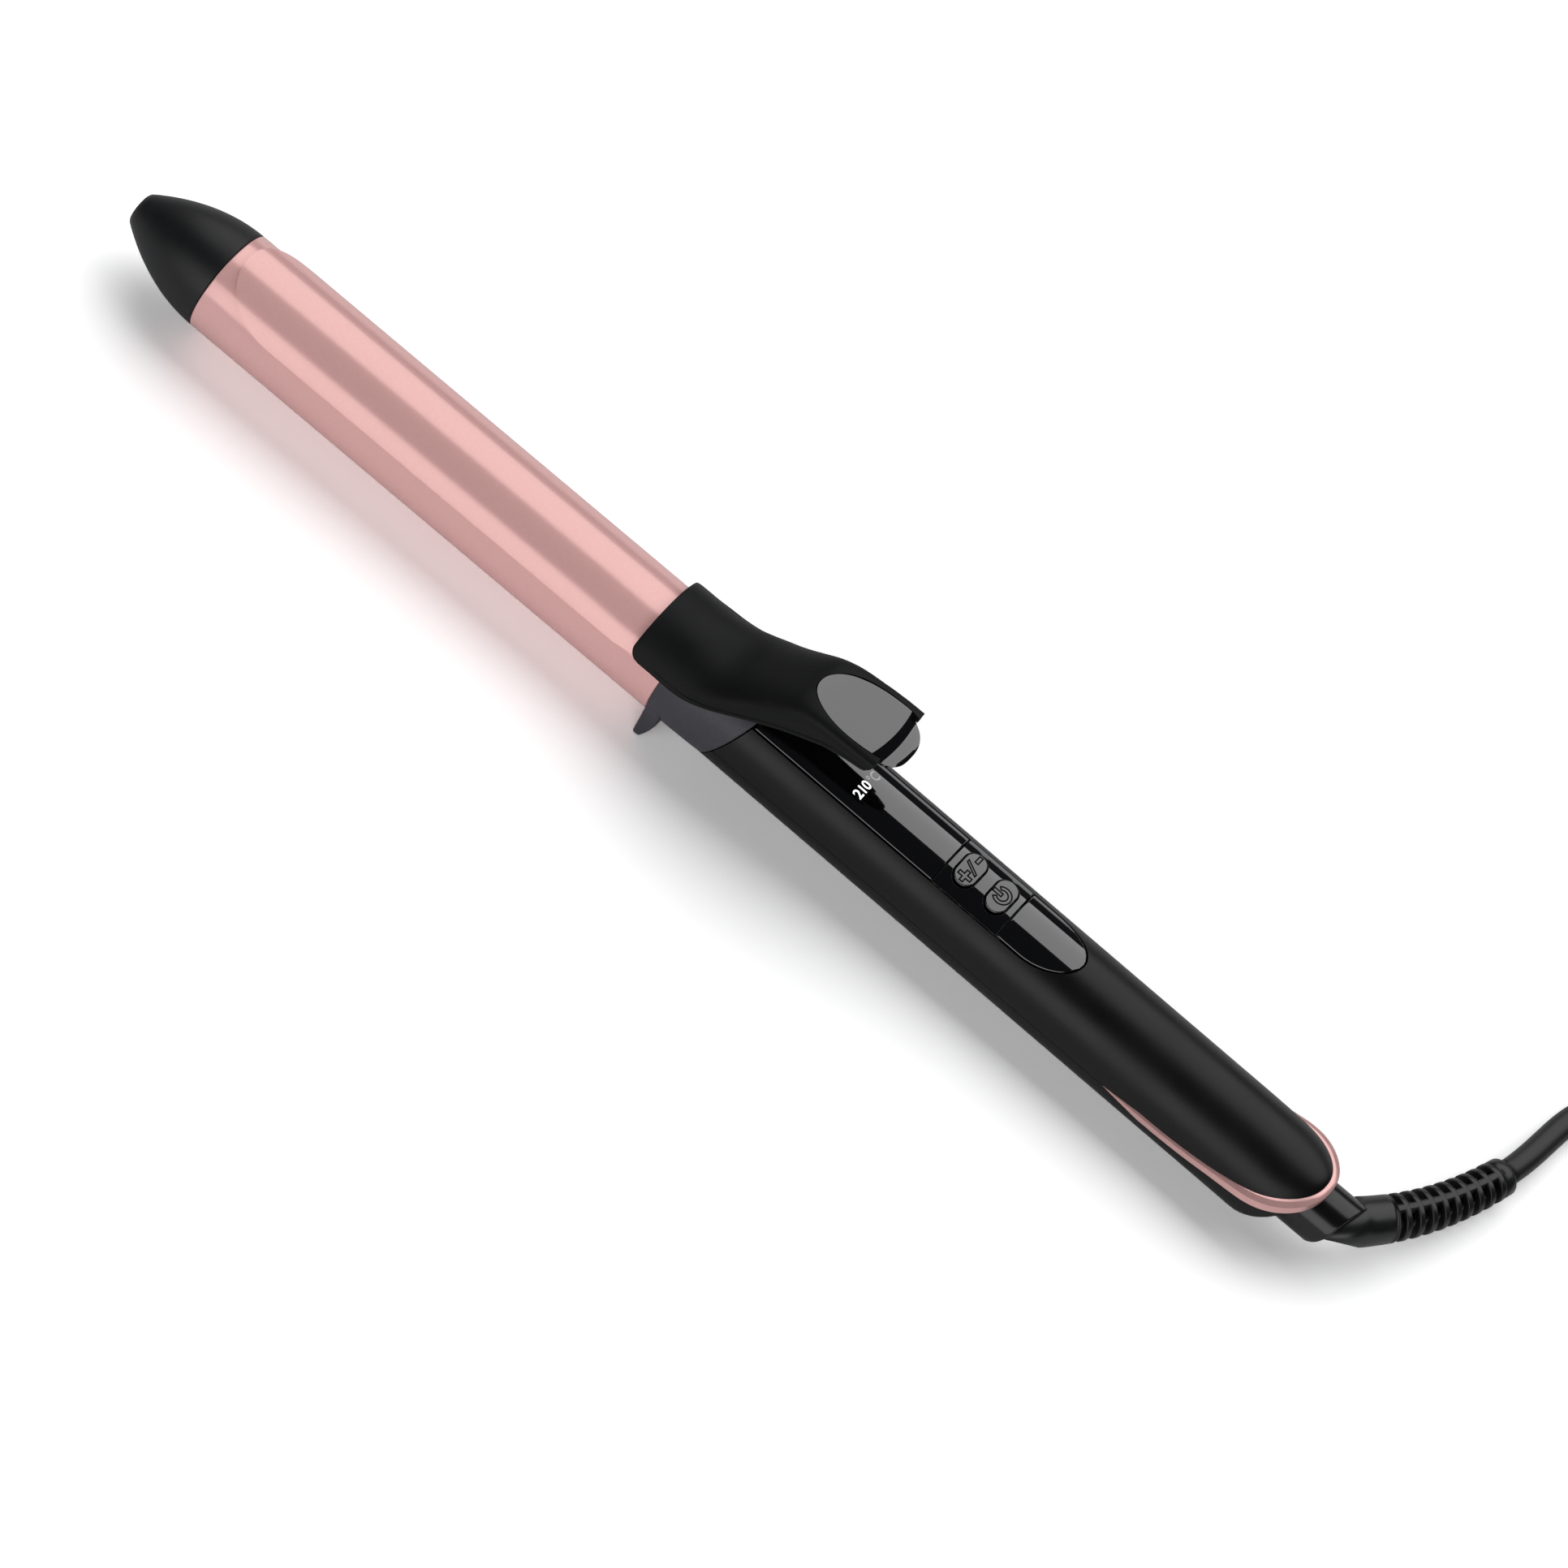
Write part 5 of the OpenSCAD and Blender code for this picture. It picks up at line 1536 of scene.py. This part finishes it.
stroke = 0.85
x = button_places[0]
plus_y = -2.3
arm_x, arm_y, half = 1.65, 1.5, stroke / 2
plus = [
    (x - arm_x, plus_y - half), (x - arm_x, plus_y + half), (x - half, plus_y + half),
    (x - half, plus_y + arm_y), (x + half, plus_y + arm_y), (x + half, plus_y + half),
    (x + arm_x, plus_y + half), (x + arm_x, plus_y - half), (x + half, plus_y - half),
    (x + half, plus_y - arm_y), (x - half, plus_y - arm_y), (x - half, plus_y - half),
]
slash = [(x + 1.7, -0.95), (x + 1.7, -0.3), (x - 1.7, 1.5), (x - 1.7, 0.85)]
minus = box_outline(x - half, x + half, 2.05, 4.05)
x = button_places[1]
power_r = 1.75
gap_angle = math.radians(42)
ring = arc_outline(x, 0, power_r, stroke, -math.pi + gap_angle, math.pi - gap_angle)
bar = box_outline(x - power_r - 0.7, x - 0.1, -half, half)
ink_black = moulded_plastic("matt_printing_ink", "050505", "0a0a0a", 0.2, 0.005, 0.6, 0.7, 0.1)
for name, x, body, node, marks in (
        ("temperature_button_cap", button_places[0], "temperature_key", "temperature_button",
         (plus, slash, minus)),
        ("power_button_cap", button_places[1], "power_key", "power_button", (ring, bar))):
    cap = plate(name, pill(x, -button_gap), [], cap_face, gloss)
    baked(walled(cap, cap_t, 0.3, 3))
    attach(cap, body)
    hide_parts(node)
    signs = [printed_line(name.replace("cap", "sign"), mark, ink_black) for mark in marks]
    sign = join(*signs)
    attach(sign, body)

# ---- Display ----
# White light-emitting digits behind the smoked window show the set temperature. They read
# across the handle, with their tops towards the barrel.

digits_x = 31.6
digits_h = 2.35


def display_light(name, colour, strength):
    material = bpy.data.materials.new(name)
    tree = empty_tree(material)
    place = add(tree, "ShaderNodeTexCoord")
    spread = add(tree, "ShaderNodeTexNoise", inputs={
        "Vector": place.outputs["Object"], "Scale": 1 / (0.8 * mm)})
    glow = add(tree, "ShaderNodeMapRange", inputs={
        "Value": spread.outputs["Fac"], "To Min": strength * 0.9, "To Max": strength})
    shader = add(tree, "ShaderNodeBsdfPrincipled", inputs={
        "Base Color": hex_colour(colour), "Roughness": 0.5, "Emission Color": hex_colour(colour),
        "Emission Strength": glow.outputs[0]})
    add(tree, "ShaderNodeOutputMaterial", inputs={"Surface": shader.outputs[0]})
    return material


# Signs set in a plain sans face, laid on the roof with their tops towards the barrel
def lit_text(name, body, x, y, height, narrow, material):
    curve = bpy.data.curves.new(name, "FONT")
    curve.body = body
    curve.size = height / 0.7
    curve.offset = 0.028 * height
    curve.space_character = 0.94
    holder = bpy.data.objects.new(name + "_source", curve)
    bpy.context.collection.objects.link(holder)
    bpy.context.view_layer.update()
    flat = bpy.data.meshes.new_from_object(holder.evaluated_get(bpy.context.evaluated_depsgraph_get()))
    bpy.data.objects.remove(holder)
    work = bmesh.new()
    work.from_mesh(flat)
    for k in range(1, 30):
        bmesh.ops.bisect_plane(work, geom=work.verts[:] + work.edges[:] + work.faces[:],
                               plane_co=(0.4 * k, 0, 0), plane_no=(1, 0, 0))
    for vertex in work.verts:
        u, v = vertex.co.x * narrow, vertex.co.y
        vertex.co = on_roof(handle_r + ink_lift)(x - v, y + u)
    bmesh.ops.recalc_face_normals(work, faces=work.faces)
    if sum(face.normal.z for face in work.faces) < 0:
        bmesh.ops.reverse_faces(work, faces=work.faces)
    work.to_mesh(flat)
    work.free()
    flat.materials.clear()
    flat.materials.append(material)
    thing = bpy.data.objects.new(name, flat)
    bpy.context.collection.objects.link(thing)
    film = thing.modifiers.new("film", "SOLIDIFY")
    film.thickness = 0.03 * mm
    film.offset = -1
    baked(thing)
    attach(thing, "handle")
    return thing


lit_text("display_digits", "210", digits_x, -4.4, digits_h, 0.88,
         display_light("display_digit_light", "f4f6f6", 0.9))
lit_text("display_degrees", "°C", digits_x, 0.2, digits_h, 0.85,
         display_light("display_unit_light", "9fa0a0", 0.5))

# ---- Parts inside ----
# The heater, its feelers, the board and the fixings lie inside the shells and keep their
# own solids. Each takes the finish of what it is really made of.


# Bare metal: fine drawing or casting marks break up the sheen
def bare_metal(name, dark, light, mark, smooth_to, rough_to):
    material = bpy.data.materials.new(name)
    tree = empty_tree(material)
    place = add(tree, "ShaderNodeTexCoord")
    marks = add(tree, "ShaderNodeTexNoise", inputs={
        "Vector": place.outputs["Object"], "Scale": 1 / (mark * mm), "Detail": 4})
    colour = add(tree, "ShaderNodeMix", {"data_type": "RGBA"}, {
        "Factor": marks.outputs["Fac"], 6: hex_colour(dark), 7: hex_colour(light)})
    rough = add(tree, "ShaderNodeMapRange", inputs={
        "Value": marks.outputs["Fac"], "From Min": 0.3, "From Max": 0.7, "To Min": smooth_to,
        "To Max": rough_to})
    bump = add(tree, "ShaderNodeBump", inputs={
        "Height": marks.outputs["Fac"], "Strength": 0.2, "Distance": 0.01 * mm})
    shader = add(tree, "ShaderNodeBsdfPrincipled", inputs={
        "Base Color": colour.outputs[2], "Metallic": 1.0, "Roughness": rough.outputs[0],
        "Normal": bump.outputs[0]})
    add(tree, "ShaderNodeOutputMaterial", inputs={"Surface": shader.outputs[0]})
    return material


zinc = bare_metal("zinc_plated_steel", "b9bcc0", "cdd0d4", 0.6, 0.25, 0.4)
aluminium = bare_metal("die_cast_aluminium", "a9abae", "bfc1c4", 0.8, 0.4, 0.55)
brass = bare_metal("contact_brass", "b08d3f", "c9a653", 0.5, 0.25, 0.4)
inner_finishes = {
    "heat_spreader_upper": aluminium,
    "heat_spreader_lower": aluminium,
    "ptc_heater": moulded_plastic("sintered_titanate_ceramic", "6f6a63", "857f77", 0.3, 0.02, 0.55, 0.7),
    "temperature_sensor": moulded_plastic("sensor_bead_glass", "7a3b22", "93482a", 1.2, 0.002, 0.08, 0.16),
    "thermal_fuse": bare_metal("tinned_fuse_case", "c2c0ba", "d6d4ce", 0.7, 0.22, 0.34),
    "insulating_sleeve": moulded_plastic("wound_mica_sleeve", "a58d62", "c2a979", 1.6, 0.02, 0.35, 0.6),
    "clip_rivets": zinc,
    "hinge_pin": zinc,
    "torsion_spring": bare_metal("oiled_spring_steel", "6e7073", "8a8c90", 0.4, 0.2, 0.35),
    "circuit_board": moulded_plastic("green_solder_mask", "0e4a26", "14602f", 2.0, 0.004, 0.25, 0.4),
    "display_module": moulded_plastic("white_display_plastic", "c8cac8", "dcdedc", 0.5, 0.01, 0.35, 0.5),
    "tact_switches": moulded_plastic("switch_nylon", "1d1d1f", "2a2a2c", 0.3, 0.01, 0.3, 0.45),
    "board_components": moulded_plastic("epoxy_component_cases", "19191a", "2b2b2d", 0.8, 0.02, 0.4, 0.6),
    "board_screws": zinc,
    "handle_screws": zinc,
    "heater_leads": moulded_plastic("white_silicone_leads", "bdbbb4", "d2d0c8", 0.5, 0.01, 0.45, 0.6),
    "mains_leads": moulded_plastic("grey_silicone_leads", "8d8f92", "a3a5a8", 0.5, 0.01, 0.45, 0.6),
    "brush_contacts": brass,
    "slip_rings": brass,
}
for node, finish in inner_finishes.items():
    inner = bpy.data.objects[node]
    if not inner.material_slots:
        inner.data.materials.append(finish)
    for place in inner.material_slots:
        place.material = finish
